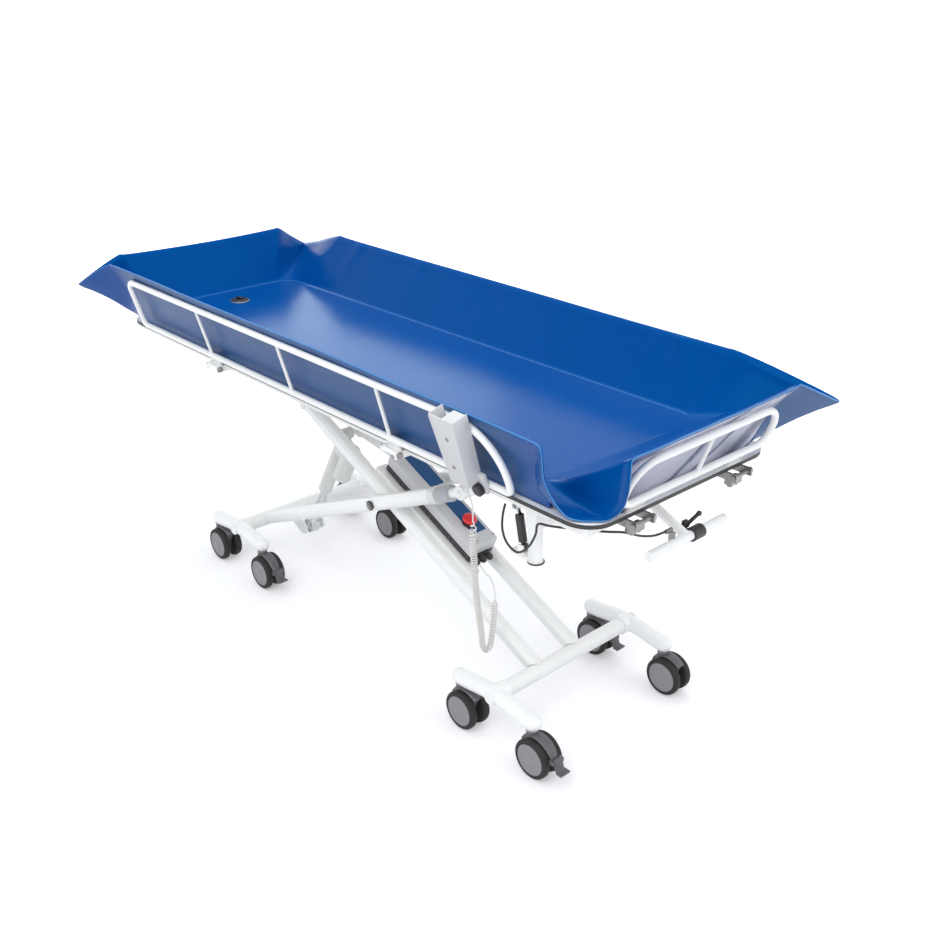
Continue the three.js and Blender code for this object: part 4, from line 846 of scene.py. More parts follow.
def make_liner():
    low, high = liner_rings()
    count = len(low)

    def wall_place(index, share):
        index %= count
        foot, rim = low[index], high[index]
        place = foot.lerp(rim, share)
        sag = math.sin(share * math.pi) * 4.0
        across = Vector((rim.x - foot.x, rim.y - foot.y, 0))
        if across.length > 1:
            place = place + across.normalized() * (sag * 0.35)
        place.z -= sag
        return place

    def outward(index, share):
        along = wall_place(index + 1, share) - wall_place(index - 1, share)
        up = wall_place(index, min(share + 0.04, 1.0)) - wall_place(index, max(share - 0.04, 0.0))
        normal = along.cross(up)
        return normal.normalized() if normal.length > 1e-6 else Vector((0, 0, -1))

    normals = {}
    for share in LEVELS:
        raw = [outward(index, share) for index in range(count)]
        for _ in range(3):
            raw = [(raw[i - 1] + raw[i] * 2 + raw[(i + 1) % count]).normalized() for i in range(count)]
        normals[share] = raw

    def stood_off(share, gap):
        """The wall's ring at a share of its height, off by a gap along its normals."""
        return [
            wall_place(i, share)
            + normals[share][i] * (gap + liner_wave(low[i].lerp(high[i], share), share))
            for i in range(count)]

    top_in, top_out = stood_off(1.0, 0.0), stood_off(1.0, WALL)

    soft = [hung_share(place) for place in high]
    for _ in range(6):
        soft = [(soft[i - 1] + soft[i] * 2 + soft[(i + 1) % count]) / 4 for i in range(count)]
    skirt = [(*skirt_foot(place), share) for place, share in zip(high, soft)]

    def hung_place(index, share):
        """A place on the skin that hangs from the rim, bowed out, with folds and creases."""
        foot, away, _ = skirt[index]
        end_on = abs(away.x)
        bow = (9.4 + 3.2 * end_on) * math.sin(math.pi * share ** 1.6)
        place = foot.lerp(top_out[index], share) - away * bow
        along = place.x * abs(away.y) + place.y * end_on
        folds = noise.noise(Vector((along * 0.021, share * 0.7, 2.3))) + 0.6 * noise.noise(
            Vector((along * 0.055 + share * 1.1, share * 0.9, 7.7)))
        place -= away * (1.6 + 1.6 * folds) * math.sin(math.pi * min(share * 1.15, 1.0))
        if foot.x > 800 and end_on > 0.9:
            for base_y, lean, depth, width in SKIN_CREASES:
                off = (place.y - base_y - lean * (share - 0.4)) / width
                place -= away * depth * math.exp(-off * off) * math.sin(math.pi * share)
        return place

    def outer(share):
        """The outside: the hung skin, and the wall's own outside at the open corner."""
        hem = hem_depth(share, 0.7)
        skin = []
        for i, plain in enumerate(stood_off(share, WALL + hem)):
            place = hung_place(i, share) + skirt[i][1] * hem
            short = (plain - place).dot(normals[share][i])
            if short > 0:
                place += normals[share][i] * short
            skin.append(plain.lerp(place, skirt[i][2]))
        return skin

    def floor_ring(inset, level, foot_level=None):
        """A ring inside the floor edge. The weld stands proud at the sides and head, not at the foot."""
        foot_level = level if foot_level is None else foot_level
        ring = []
        for place in low:
            proud = clamp((FLOOR_FOOT - 20 - place.x) / 60)
            core = Vector((
                clamp(place.x, FLOOR_HEAD + CORNER, FLOOR_FOOT - CORNER),
                clamp(place.y, CORNER - FLOOR_HALF, FLOOR_HALF - CORNER), place.z))
            back = (place - core).normalized()
            ring.append(Vector((
                place.x - back.x * inset, place.y - back.y * inset,
                foot_level + (level - foot_level) * proud)))
        return ring

    def base_ring(level):
        """A ring of the underside, tucked in below the deck edge where the skin hangs."""
        tuck = 0.0 if level > SKIRT_LEVEL else 2.0
        ring = []
        for i in range(count):
            slope = low[i] - high[i]
            reach = (level - low[i].z) / slope.z if abs(slope.z) > 40 else 0.0
            place = low[i] + slope * clamp(reach, -0.2, 0.25) + normals[LEVELS[0]][i] * WALL
            foot, away, hung = skirt[i]
            ring.append(Vector((place.x, place.y, level)).lerp(
                Vector((foot.x - away.x * tuck, foot.y - away.y * tuck, min(level, 727.5))), hung))
        return ring

    floor_part = [
        drawn_in(floor_ring(14, level), share)
        for share, level in ((0.02, 749.6), (0.3, 749.7), (0.62, 750.0), (0.86, 750.3))]
    floor_part += [
        floor_ring(14, 750.2), floor_ring(7, 750.3), floor_ring(5.6, 751.3, 749.9),
        floor_ring(3.6, 751.5, 749.9), floor_ring(1.5, 750.7, 750.1)]
    rings = floor_part + [stood_off(share, -hem_depth(share, 0.9)) for share in LEVELS[:-1]]
    rings.append([a.lerp(b, 0.12) for a, b in zip(top_in, top_out)])
    rings.append([(a + b) / 2 + Vector((0, 0, 1.2)) for a, b in zip(top_in, top_out)])
    rings.append([b.lerp(a, 0.12) for a, b in zip(top_in, top_out)])
    rings += [outer(share) for share in reversed(LEVELS[:-1])]
    base = base_ring(724.2)
    rings += [base_ring(731), base_ring(725.5), drawn_in(base, 0.99), drawn_in(base, 0.6)]

    bm = bmesh.new()
    skin_through(bm, rings)
    liner = make_object("tub_liner_sheet", bm, [LINER_BLUE, LINER_BACK, LINER_PALE, SEAM_HIGHLIGHT_BLUE], 180)
    front, back, pale_back, seam_highlight = range(4)
    weld = len(floor_part) - 3
    rim_band = len(floor_part) + len(LEVELS)
    for face in liner.data.polygons:
        first = min(face.vertices)
        ring, hung = first // count, skirt[first % count][2]
        middle = face.center * 1000
        # The floor weld, except at the foot, and the rim's top band get the painted highlight blue.
        if ring in (weld, rim_band):
            face.material_index = seam_highlight if middle.x < 745 or ring != weld else front
        elif ring > rim_band and hung > 0.5:
            pale = middle.x > 860 and abs(middle.y) < 262 and middle.z < 885
            face.material_index = pale_back if pale else back
    fit_piece(liner, "deck", ["tub_liner"])


make_liner()

# Cords: the curly handset cord in four lengths, the thin lead and the release cable, in millimetres

CURL_ROUTE = [
    (653.7, -350.3, 732), (655, -345, 712), (659, -338, 684), (651, -328, 635), (640, -318, 586),
    (629, -305, 528), (616, -290, 466), (599, -268, 392), (577, -240, 320), (549, -208, 256),
    (527, -184, 204), (519, -167, 177), (520, -155, 178), (523, -150, 206), (525, -146, 256),
    (525, -142, 312),
]
LEAD_ROUTE = [
    (525, -142, 312), (524, -140.5, 318), (521, -139, 332), (500, -126, 341), (465, -103, 335),
    (430, -80, 315), (405, -60, 299), (388, -53, 302), (370.7, -52, 309.7),
]
CABLE_ROUTE = [
    (945, -57, 632), (942, -90, 634), (940, -132, 648), (938, -180, 672), (926, -222, 684),
    (890, -258, 687), (840, -290, 687), (806, -292, 679), (797, -289, 651), (776, -288, 613),
    (745, -288, 588), (713, -287, 596), (697, -286, 622), (692, -281, 652), (690, -272, 676),
]
CORD_WIRE = 1.65
LEAD_WIRE = 1.65
CABLE_WIRE = 2.5

# The curl: its radius, where it starts, how long its turns are drawn out, and the pitch of the turns
CURL_OUT = 6.4
STRAIGHT_START = 95
DRAWN_OUT = 75
OPEN_PITCH, CLOSE_PITCH, BEND_PITCH = 16, 7.6, 6.4
BEND_REACH = 46
CURL_STEPS = 3000


def line_length(path):
    return sum((b - a).length for a, b in zip(path, path[1:]))


def even(path, count):
    """count + 1 places at equal steps along a path."""
    total = line_length(path)
    places, walked, index = [], 0.0, 0
    for step in range(count + 1):
        goal = total * step / count
        while index < len(path) - 2 and walked + (path[index + 1] - path[index]).length < goal:
            walked += (path[index + 1] - path[index]).length
            index += 1
        piece = (path[index + 1] - path[index]).length
        places.append(path[index].lerp(path[index + 1], (goal - walked) / piece if piece else 0))
    return places


def smooth_line(route, steps):
    return spread([Vector(place) for place in route], steps * (len(route) - 1)) + [Vector(route[-1])]


def curled_line():
    """The handset cord: a straight start, drawn-out turns, then close ones, more open in the low bend."""
    fine = even(smooth_line(CURL_ROUTE, 60), CURL_STEPS)
    total = line_length(fine)
    step_length = total / CURL_STEPS
    low = min(range(len(fine)), key=lambda index: fine[index].z)
    turn, kept = 0.0, []
    for index, here in enumerate(frames_along(fine)):
        along = index * step_length
        left = total - along
        from_low = abs(index - low) * step_length
        pitch, out = None, 0.0
        if along >= STRAIGHT_START:
            curled = along - STRAIGHT_START
            pitch = OPEN_PITCH - (OPEN_PITCH - CLOSE_PITCH) * min(curled / DRAWN_OUT, 1)
            out = CURL_OUT * min(curled / 22, 1)
        if from_low < BEND_REACH:
            pitch = BEND_PITCH + 0.6 * (1 - from_low / BEND_REACH)
        if left < 10:
            out = min(out, CURL_OUT * left / 10)
        if pitch:
            turn += math.tau * step_length / pitch
        kept.append((here @ Vector((out * math.cos(turn), out * math.sin(turn), 0)), along, turn, out))
    places, last_turn = [], -1.0
    for place, along, turn, out in kept:
        if out == 0.0:
            if not places or (place - places[-1][0]).length >= 3.0:
                places.append((place, along))
        elif turn - last_turn >= math.tau / 14:
            places.append((place, along))
            last_turn = turn
    while (kept[-1][0] - places[-1][0]).length < 2.0:
        places.pop()
    places.append((kept[-1][0], total))
    return places


def cord_piece(name, path, radius, material, sides=8):
    bm = bmesh.new()
    sweep(bm, [place * 0.001 for place in path], radius * 0.001, sides)
    return make_object(name, bm, [material], 180)


def make_cords():
    places = curled_line()
    marks = [0.0]
    for goal in (700, 600, 190):
        marks.append(next(along for place, along in places if along > marks[-1] and place.z < goal))
    marks.append(places[-1][1] + 1)
    spans = [
        ("handset_cord_top", ("side_rail_near", "deck"), (0.654, -0.348, 0.728), (0.657, -0.341, 0.702)),
        ("handset_cord_upper", ("deck", "subframe"), (0.658, -0.335, 0.698), (0.644, -0.322, 0.602)),
        ("handset_cord_long", ("subframe", "inner_frame"), (0.64, -0.318, 0.598), (0.525, -0.18, 0.192)),
        ("handset_cord_low", "inner_frame", None, None),
    ]
    total = 0.0
    for (name, bodies, start, end), first, last in zip(spans, marks, marks[1:]):
        path = [place for place, along in places if first <= along <= last]
        piece = cord_piece(name, path, CORD_WIRE, CORD_GREY)
        if start:
            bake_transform(piece)
        else:
            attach(piece, bodies)
        if name == "handset_cord_long":
            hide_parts("handset_cord")
        real = line_length(path) * 0.001
        total += real
    print("handset cord length in metres", round(total, 3))

    lead = smooth_line(LEAD_ROUTE, 10)
    piece = cord_piece("handset_lead_wire", lead, LEAD_WIRE, CORD_GREY, 12)
    fit_piece(piece, "inner_frame", ["handset_lead"])
    print("lead length in metres", round(line_length(lead) * 0.001, 3))

    cable = smooth_line(CABLE_ROUTE, 8)
    piece = cord_piece("release_cable_line", cable, CABLE_WIRE, CORD_BLACK, 14)
    fit_piece(piece, "deck", ["release_cable"])
    print("cable length in metres", round(line_length(cable) * 0.001, 3))


make_cords()

# Castors, feet and axles

AXLES = {"rear": -514, "front": 632}
ENDS = {"head": -1, "foot": 1}
SIDES = {"near": -1, "far": 1}
BRAKED = ("rear_near_foot", "front_near_foot", "rear_far_head", "front_far_head")
FOOT_Y, STEM, TRAIL, WHEEL = 237.7, 122, 22.5, 50

# Turned profiles of the wheel and of the castor's neck, in millimetres: radius, height
WHEEL_PROFILE = (
    (6, 0), (44, 0), (46.5, 0.6), (48.6, 2.0), (49.6, 4.2), (50, 7), (50, 13), (49.6, 15.6), (48.4, 17.8),
    (46, 19.4), (43, 20.0), (40.6, 19.9), (39.7, 19.0), (39.0, 19.0), (38.4, 19.6), (37.4, 19.8), (24, 19.9),
    (21, 19.2), (19, 19.9), (0, 19.9),
)
NECK_PROFILE = ((0, 0), (13.4, 0), (14, 0.8), (14, 10), (15.5, 14), (19, 18), (19.6, 20), (0, 20))
HOOD_STATIONS = 15
CAP_RADIUS, CAP_DEPTH = 0.0392, 0.028
UP = Vector((0, 0, 1))

# Side view of the brake pedal from its hub, in millimetres
PEDAL_OUTLINE = (
    (0, 4.4), (4.8, 1.5), (7.2, -8), (8.8, -16), (12, -19.6), (19, -21.4), (27.2, -21.2), (27.4, -24.6),
    (18, -25.6), (8, -24.2), (3.6, -19), (1.6, -8), (-3.6, -2.4),
)


def make_wheels(key, x, y):
    bm = bmesh.new()
    for side in (-1, 1):
        spun(bm, [(radius * 0.001, height * 0.001) for radius, height in WHEEL_PROFILE],
             P(x + TRAIL, y + side * 10.6, WHEEL), Vector((0, side, 0)), 56)
    made = make_object(f"castor_{key}_tyres", bm, [TYRE_RUBBER, HUB_GREY], 32)
    centre = P(x + TRAIL, y, WHEEL)

    def on_cap(face):
        away = face.center - centre
        return math.hypot(away.x, away.z) < CAP_RADIUS and abs(away.y) > CAP_DEPTH

    tint(made, 1, on_cap)
    fit_piece(made, f"castor_{key}_wheels", [f"castor_{key}_wheels"])


def hood_ring(centre, angle, half):
    """One cross section of the castor's hood: a crowned band of a given half width."""
    out, thick = 0.0528, 0.0034
    direction = Vector((math.cos(angle), 0, math.sin(angle)))
    top = centre + direction * (out + thick)
    low = centre + direction * out
    crown = direction * 0.0016
    across = Vector((0, 1, 0))
    return [
        top - across * (half - 0.002) - crown, top - across * half * 0.5, top + crown * 0.3,
        top + across * half * 0.5, top + across * (half - 0.002) - crown, low + across * half,
        low, low - across * half]


def ring_edges(bm, ring):
    """The edges round a ring of vertices, made where they aren't there yet."""
    pairs = [(vert, ring[(index + 1) % len(ring)]) for index, vert in enumerate(ring)]
    return [bm.edges.get(pair) or bm.edges.new(pair) for pair in pairs]


def make_housing(key, x, y):
    bm = bmesh.new()
    braked = key in BRAKED
    axle_x = x + TRAIL
    centre = P(axle_x, y, WHEEL)
    first, last = math.radians(18 if braked else 46), math.radians(150)
    verts = []
    for index in range(HOOD_STATIONS):
        share = index / (HOOD_STATIONS - 1)
        half = (11.5 + 3.5 * math.sin(math.pi * clamp((share - 0.05) / 0.9)) ** 0.7) * 0.001
        ring = hood_ring(centre, first + (last - first) * share, half)
        verts.append([bm.verts.new(place) for place in ring])
    for before, after in zip(verts, verts[1:]):
        bmesh.ops.bridge_loops(bm, edges=ring_edges(bm, before) + ring_edges(bm, after))
    for end in (verts[0], verts[-1]):
        bm.faces.new(end)
    web = []
    for angle in range(48, 157, 12):
        turn = math.radians(angle)
        web.append(centre + Vector((math.cos(turn) * 0.0535, 0, math.sin(turn) * 0.0535)))
    for along, height in ((-15, 42), (-8, 36), (0, 34.6), (8, 36), (15, 42)):
        web.append(P(axle_x + along, y, height))
    plate(bm, web, P(0, -9, 0), P(0, 9, 0), 0.0015)
    neck = [(radius * 0.001, -height * 0.001) for radius, height in NECK_PROFILE]
    spun(bm, neck, P(x, y, 106.8), UP, 32)
    rounded_bar(bm, P(x, y, 100), P(x, y, 128.4), 0.006, 16)
    rounded_bar(bm, P(axle_x, y - 10.2, WHEEL), P(axle_x, y + 10.2, WHEEL), 0.012, 24)
    if braked:
        ear_x, ear_z = axle_x + 54 * math.cos(math.radians(18)), WHEEL + 54 * math.sin(math.radians(18))
        for side in (-1, 1):
            ear_y = y + side * 15.3
            block(bm, P(ear_x - 3, ear_y - 2, ear_z - 5), P(ear_x + 12, ear_y + 2, ear_z + 5), 0.001)
    made = make_object(f"castor_{key}_fork", bm, [GREY_NYLON], 38)
    fit_piece(made, f"castor_{key}_housing", [f"castor_{key}_housing"])


def make_pedal(axle, side):
    low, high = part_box(f"brake_pedal_{axle}_{side}")
    bm = bmesh.new()
    hub = Vector((low.x + 0.0055, (low.y + high.y) / 2, high.z - 0.0055))
    half = Vector((0, 0.0128, 0))
    rounded_bar(bm, hub - half, hub + half, 0.0055, 24)
    scale = (high.x - hub.x) * 1000 / 27.4
    side_view = [hub + Vector((along * scale, 0, up)) * 0.001 for along, up in PEDAL_OUTLINE]
    plate(bm, side_view, -half, half, 0.0012)
    block(bm, hub + Vector((0.011, -0.016, -0.0256)),
          Vector((high.x, hub.y + 0.016, hub.z - 0.0212)), 0.0018, 3)
    for index in range(3):
        block(bm, hub + Vector((0.0135 + 0.0042 * index, -0.0135, -0.0215)),
              hub + Vector((0.0155 + 0.0042 * index, 0.0135, -0.0203)), 0.0005)
    made = make_object(f"brake_pedal_{axle}_{side}_lever", bm, [GREY_NYLON], 35)
    fit_piece(made, f"brake_pedal_{axle}_{side}", [f"brake_pedal_{axle}_{side}"])


def make_foot(axle, side, x, y):
    bm = bmesh.new()
    path, radii = [], []
    for index in range(-34, 35):
        share = index / 34
        along = 144.6 * math.copysign(abs(share) ** 0.9, share)
        fall = clamp((abs(along) - 22) / 96)
        drop = 11 * ease(fall)
        nose = clamp((abs(along) - 121) / 24)
        path.append(P(x + along, y, 139 - drop - 3.5 * nose ** 2))
        radii.append(21 * math.sqrt(max(1 - nose ** 2.2, 0.02)) * 0.001)
    sweep(bm, path, 0.021, 36, radii)
    inner = -1 if side == "far" else 1
    rounded_bar(bm, P(x, y, 139), P(x, y + inner * 33, 139), 0.025, 40, 0.002)
    rounded_bar(bm, P(x, y - inner * 19, 139), P(x, y - inner * 23, 139), 0.0165, 32)
    made = make_object(f"{axle}_foot_{side}_beam", bm, [WHITE_PAINT], 50)
    fit_piece(made, f"{axle}_foot_{side}", [f"{axle}_foot_{side}"])
    bm = bmesh.new()
    for end in (-1, 1):
        spun(bm, [(0, 0), (0.0148, 0), (0.0152, 0.0008), (0.0152, 0.004), (0.0164, 0.008), (0.0182, 0.0128),
                  (0, 0.0128)], P(x + end * STEM, y, 107.2), UP, 32)
    made = make_object(f"{axle}_foot_{side}_sockets", bm, [HUB_GREY], 50)
    fit_piece(made, f"{axle}_foot_{side}")


for axle, axle_x in AXLES.items():
    for side, sign in SIDES.items():
        make_foot(axle, side, axle_x, sign * FOOT_Y)
        for end, along in ENDS.items():
            key = f"{axle}_{side}_{end}"
            x, y = axle_x + along * STEM, sign * FOOT_Y
            make_wheels(key, x, y)
            make_housing(key, x, y)
            if key in BRAKED:
                make_pedal(axle, side)


# Planes that pieces are laid out in: origin, then the directions of their x, y and z


def plane(origin, x_way, y_way):
    x_way, y_way = Vector(x_way).normalized(), Vector(y_way).normalized()
    z_way = x_way.cross(y_way)
    return Matrix((
        (x_way.x, y_way.x, z_way.x, origin[0] * 0.001), (x_way.y, y_way.y, z_way.y, origin[1] * 0.001),
        (x_way.z, y_way.z, z_way.z, origin[2] * 0.001), (0, 0, 0, 1)))


def within(matrix, points):
    return [matrix @ P(*point) for point in points]


SIDE_HINGE_Y, END_HINGE_X, HINGE_LEVEL = 318.7, 969, 703
LEAN = math.radians(15.6)
SIDE_PLANE = {
    side: plane((0, sign * SIDE_HINGE_Y, 736.7), (1, 0, 0), (0, sign * math.sin(LEAN), math.cos(LEAN)))
    for side, sign in SIDES.items()}
END_LEAN = math.radians(19.8)
END_PLANE = {
    end: plane((sign * END_HINGE_X, 0, 757), (0, sign, 0), (sign * math.sin(END_LEAN), 0, math.cos(END_LEAN)))
    for end, sign in ENDS.items()}
ARM_RISE, ARM_RUN = 522, 1146
ARM = math.atan2(ARM_RISE, ARM_RUN)
ARM_LENGTH = math.hypot(ARM_RISE, ARM_RUN)
INNER = plane((-514, 0, 661), (math.cos(ARM), 0, -math.sin(ARM)), (0, 1, 0))
OUTER = plane((-514, 0, 139), (math.cos(ARM), 0, math.sin(ARM)), (0, 1, 0))

# Rails

# Places of the hinges along the side rails and across the end rails, in millimetres
HINGE_X = (-417.9, 364.7)
HINGE_Y = (-165, 165)
RAIL_TUBE, RAIL_BAR = 0.008, 0.00475


def closed_loop(bm, matrix, low, high, height, radii):
    """A rail loop: one bent tube whose ends meet in the middle of the bottom run."""
    middle = (low + high) / 2
    corners = within(matrix, [
        (middle, 0, 0), (low, 0, 0), (low, height, 0), (high, height, 0), (high, 0, 0), (middle, 0, 0)])
    sweep(bm, bent(corners, [value * 0.001 for value in radii], 14), RAIL_TUBE, 24)


def hinge_leaf(bm, matrix, x, lift, lean, outward):
    """The plate and barrel that hang from a rail to its hinge axis."""
    low = P(x, -lift * math.cos(lean), outward * lift * math.sin(lean))
    high = P(x, 0, 0)
    way = (high - low).normalized()
    turn = Matrix((
        (1, 0, 0, 0), (0, way.y, -way.z, 0), (0, way.z, way.y, 0), (0, 0, 0, 1)))
    block(bm, P(-23.8, 4, -3.2), Vector((0.0238, (high - low).length + 0.002, 0.0032)), 0.0012,
          turn=matrix @ Matrix.Translation(low) @ turn)
    rounded_bar(bm, matrix @ (low + P(-23.8, 0, 0)), matrix @ (low + P(23.8, 0, 0)), 0.009, 28, 0.0008)
    facing = Vector((0, -way.z, way.y))
    for end in (-14, 14):
        centre = low.lerp(high, 0.52) + P(end, 0, 0)
        for side in (-1, 1):
            spun(bm, [(0, 0.0046), (0.0024, 0.0046), (0.0036, 0.0034), (0.0038, 0.0028)],
                 matrix @ centre, (matrix.to_3x3() @ facing) * side, 16)


def make_side_rail(side):
    sign = SIDES[side]
    bm = bmesh.new()
    matrix = SIDE_PLANE[side]
    closed_loop(bm, matrix, -809.2, 756, 141.8, (14, 30, 126, 14))
    for x in (HINGE_X[0], -26.6, HINGE_X[1]):
        sweep(bm, within(matrix, [(x, 3, 0), (x, 138.8, 0)]), RAIL_BAR, 20)
    outward = -1 if matrix.to_3x3().col[2].y * sign > 0 else 1
    for x in HINGE_X:
        hinge_leaf(bm, matrix, x, 33.7, LEAN, outward)
    made = make_object(f"side_rail_{side}_tube", bm, [WHITE_PAINT], 42)
    fit_piece(made, f"side_rail_{side}", [f"side_rail_{side}"])


def make_end_rail(end):
    sign = ENDS[end]
    bm = bmesh.new()
    matrix = END_PLANE[end]
    closed_loop(bm, matrix, -240, 240, 103, (34, 62, 62, 34))
    sweep(bm, within(matrix, [(0, 3, 0), (0, 100, 0)]), RAIL_BAR, 20)
    outward = -1 if matrix.to_3x3().col[2].x * sign > 0 else 1
    for x in HINGE_Y:
        hinge_leaf(bm, matrix, x, 54, END_LEAN, outward)
    made = make_object(f"end_rail_{end}_tube", bm, [WHITE_PAINT], 42)
    fit_piece(made, f"end_rail_{end}", [f"end_rail_{end}"])


for side in SIDES:
    make_side_rail(side)
for end in ENDS:
    make_end_rail(end)


# Deck: laminate board with a dark core edge, and the frame under it with steel hinge blocks


HINGE_BOLT = ((0, 0.0062), (0.0032, 0.0062), (0.0036, 0.0057), (0.0072, 0.0057), (0.008, 0.0049), (0.008, 0))
BOARD_TOP, BOARD_UNDER = 723.5, 713.5


def make_board():
    bm = bmesh.new()
    half_x, half_y, corner = 953.85, 303.5, 65
    outline = []
    for sx, sy, start in ((1, 1, 0), (-1, 1, 90), (-1, -1, 180), (1, -1, 270)):
        for step in range(13):
            angle = math.radians(start + 7.5 * step)
            outline.append(P(
                sx * (half_x - corner) + corner * math.cos(angle),
                sy * (half_y - corner) + corner * math.sin(angle), BOARD_UNDER))
    plate(bm, outline, P(0, 0, 0), P(0, 0, BOARD_TOP - BOARD_UNDER), 0.0008)
    made = make_object("deck_board_laminate", bm, [BOARD_WHITE, BOARD_EDGE], 30)
    tint(made, 1, lambda face: abs(face.normal.z) < 0.9)
    fit_piece(made, "deck", ["deck_board"])

    bm = bmesh.new()
    for x, y in ((938, 196), (938, -196), (-938, 196), (-938, -196), (915, 262), (-915, 262), (-915, -262)):
        spun(bm, [(0.0015, 0.0002), (0.0022, 0.0009), (0.0058, 0.0009), (0.0066, 0.0003), (0.0066, 0)],
             P(x, y, BOARD_TOP), UP, 24)
    made = make_object("deck_board_screws", bm, [ZINC_STEEL], 40)
    fit_piece(made, "deck")

    bm = bmesh.new()
    for x, y in ((927, 172), (927, -172), (-927, 172), (-927, -172)):
        outline = []
        for end in (-1, 1):
            for step in range(9):
                angle = math.radians(-90 + 22.5 * step + (0 if end > 0 else 180))
                outline.append(P(x + 4 * math.cos(angle), y + end * 9 + 4 * math.sin(angle), BOARD_TOP))
        outline.sort(key=lambda p: math.atan2(p.y - y * 0.001, p.x - x * 0.001))
        plate(bm, outline, P(0, 0, 0), P(0, 0, 0.25))
    made = make_object("deck_board_slots", bm, [BLACK_PLASTIC], 40)
    fit_piece(made, "deck")


def make_deck_frame():
    made = smooth_node("deck_frame", WHITE_PAINT, "deck", 35, 0.0008)
    made.data.materials.append(ZINC_STEEL)
    tint(made, 1, lambda face: abs(face.center.x) > 0.9305 and face.center.z < 0.7125)
    bm = bmesh.new()
    for end in (-1, 1):
        for y in HINGE_Y:
            for side in (-1, 1):
                place = P(end * END_HINGE_X, y + side * 30.4, HINGE_LEVEL)
                spun(bm, HINGE_BOLT, place, Vector((0, side, 0)), 6)
            block(bm, P(end * 951 - 10, y - 20, 676), P(end * 951 + 10, y + 20, 692.5), 0.002)
            for side in (-1, 1):
                spun(bm, [(0, 0.0052), (0.006, 0.0052), (0.0068, 0.0044), (0.0068, 0)],
                     P(end * 951, y + side * 10, 676), -UP, 6)
    for sign in (-1, 1):
        for x in HINGE_X:
            for side in (-1, 1):
                place = P(x + side * 30.4, sign * SIDE_HINGE_Y, HINGE_LEVEL)
                spun(bm, HINGE_BOLT, place, Vector((side, 0, 0)), 6)
    made = make_object("hinge_bolts", bm, [ZINC_STEEL], 30)
    fit_piece(made, "deck")


def make_drain():
    bm = bmesh.new()
    start = P(-803, 0, 750.35)
    spun(bm, [(0, 0.0018), (0.014, 0.0018), (0.0152, 0.0028), (0.0158, 0.0046), (0.0172, 0.0054),
              (0.0246, 0.0042), (0.0258, 0.0028), (0.026, 0.0)], start, UP, 48)
    for index in range(4):
        block(bm, P(-14, -1.6, 1.6), P(14, 1.6, 5.2 if index == 0 else 3.0), 0.0008,
              turn=Matrix.Translation(start) @ Matrix.Rotation(math.radians(45 * index), 4, "Z"))
    block(bm, P(-816, -4, 754), P(-790, 4, 762), 0.0025, 3)
    made = make_object("drain_plug_grille", bm, [BLACK_PLASTIC], 35)
    fit_piece(made, "deck", ["drain_plug"])
    bm = bmesh.new()
    spun(bm, [(0.0262, 0.0002), (0.0272, 0.0016), (0.0296, 0.0018), (0.0308, 0.0008), (0.0312, 0.0001)],
         start, UP, 48)
    made = make_object("drain_ring", bm, [ZINC_STEEL], 60)
    fit_piece(made, "deck")


make_board()
make_deck_frame()
make_drain()

# Scissor arms, cross tubes and subframe

for node, body in (
    ("rear_cross_tube", "outer_frame"), ("front_cross_tube", "inner_frame"),
    ("outer_arm_near", "outer_frame"), ("outer_arm_far", "outer_frame"),
    ("inner_arm_near", "inner_frame"), ("inner_arm_far", "inner_frame"),
    ("actuator_bracket", "inner_frame"), ("subframe_crossbar", "subframe"),
):
    smooth_node(node, WHITE_PAINT, body, 34, 0.0006)
for node in ("subframe_channel_near", "subframe_channel_far"):
    smooth_node(node, WHITE_PAINT, "subframe", 34, 0.0012)
smooth_node("cross_pivot_shaft", ZINC_STEEL, "outer_frame", 34)
smooth_node("top_pivot_shaft", ZINC_STEEL, "subframe", 34)


def hex_bolt(bm, place, way, radius, height):
    """A bolt head with six sides on its round flange."""
    spun(bm, [(radius * 1.5, 0.0), (radius * 1.5, 0.0012), (radius * 1.46, 0.0016), (radius * 0.9, 0.0016)],
         place, way, 28)
    spun(bm, [(radius, 0.0012), (radius, height * 0.85), (radius * 0.9, height), (0, height)], place, way, 6)


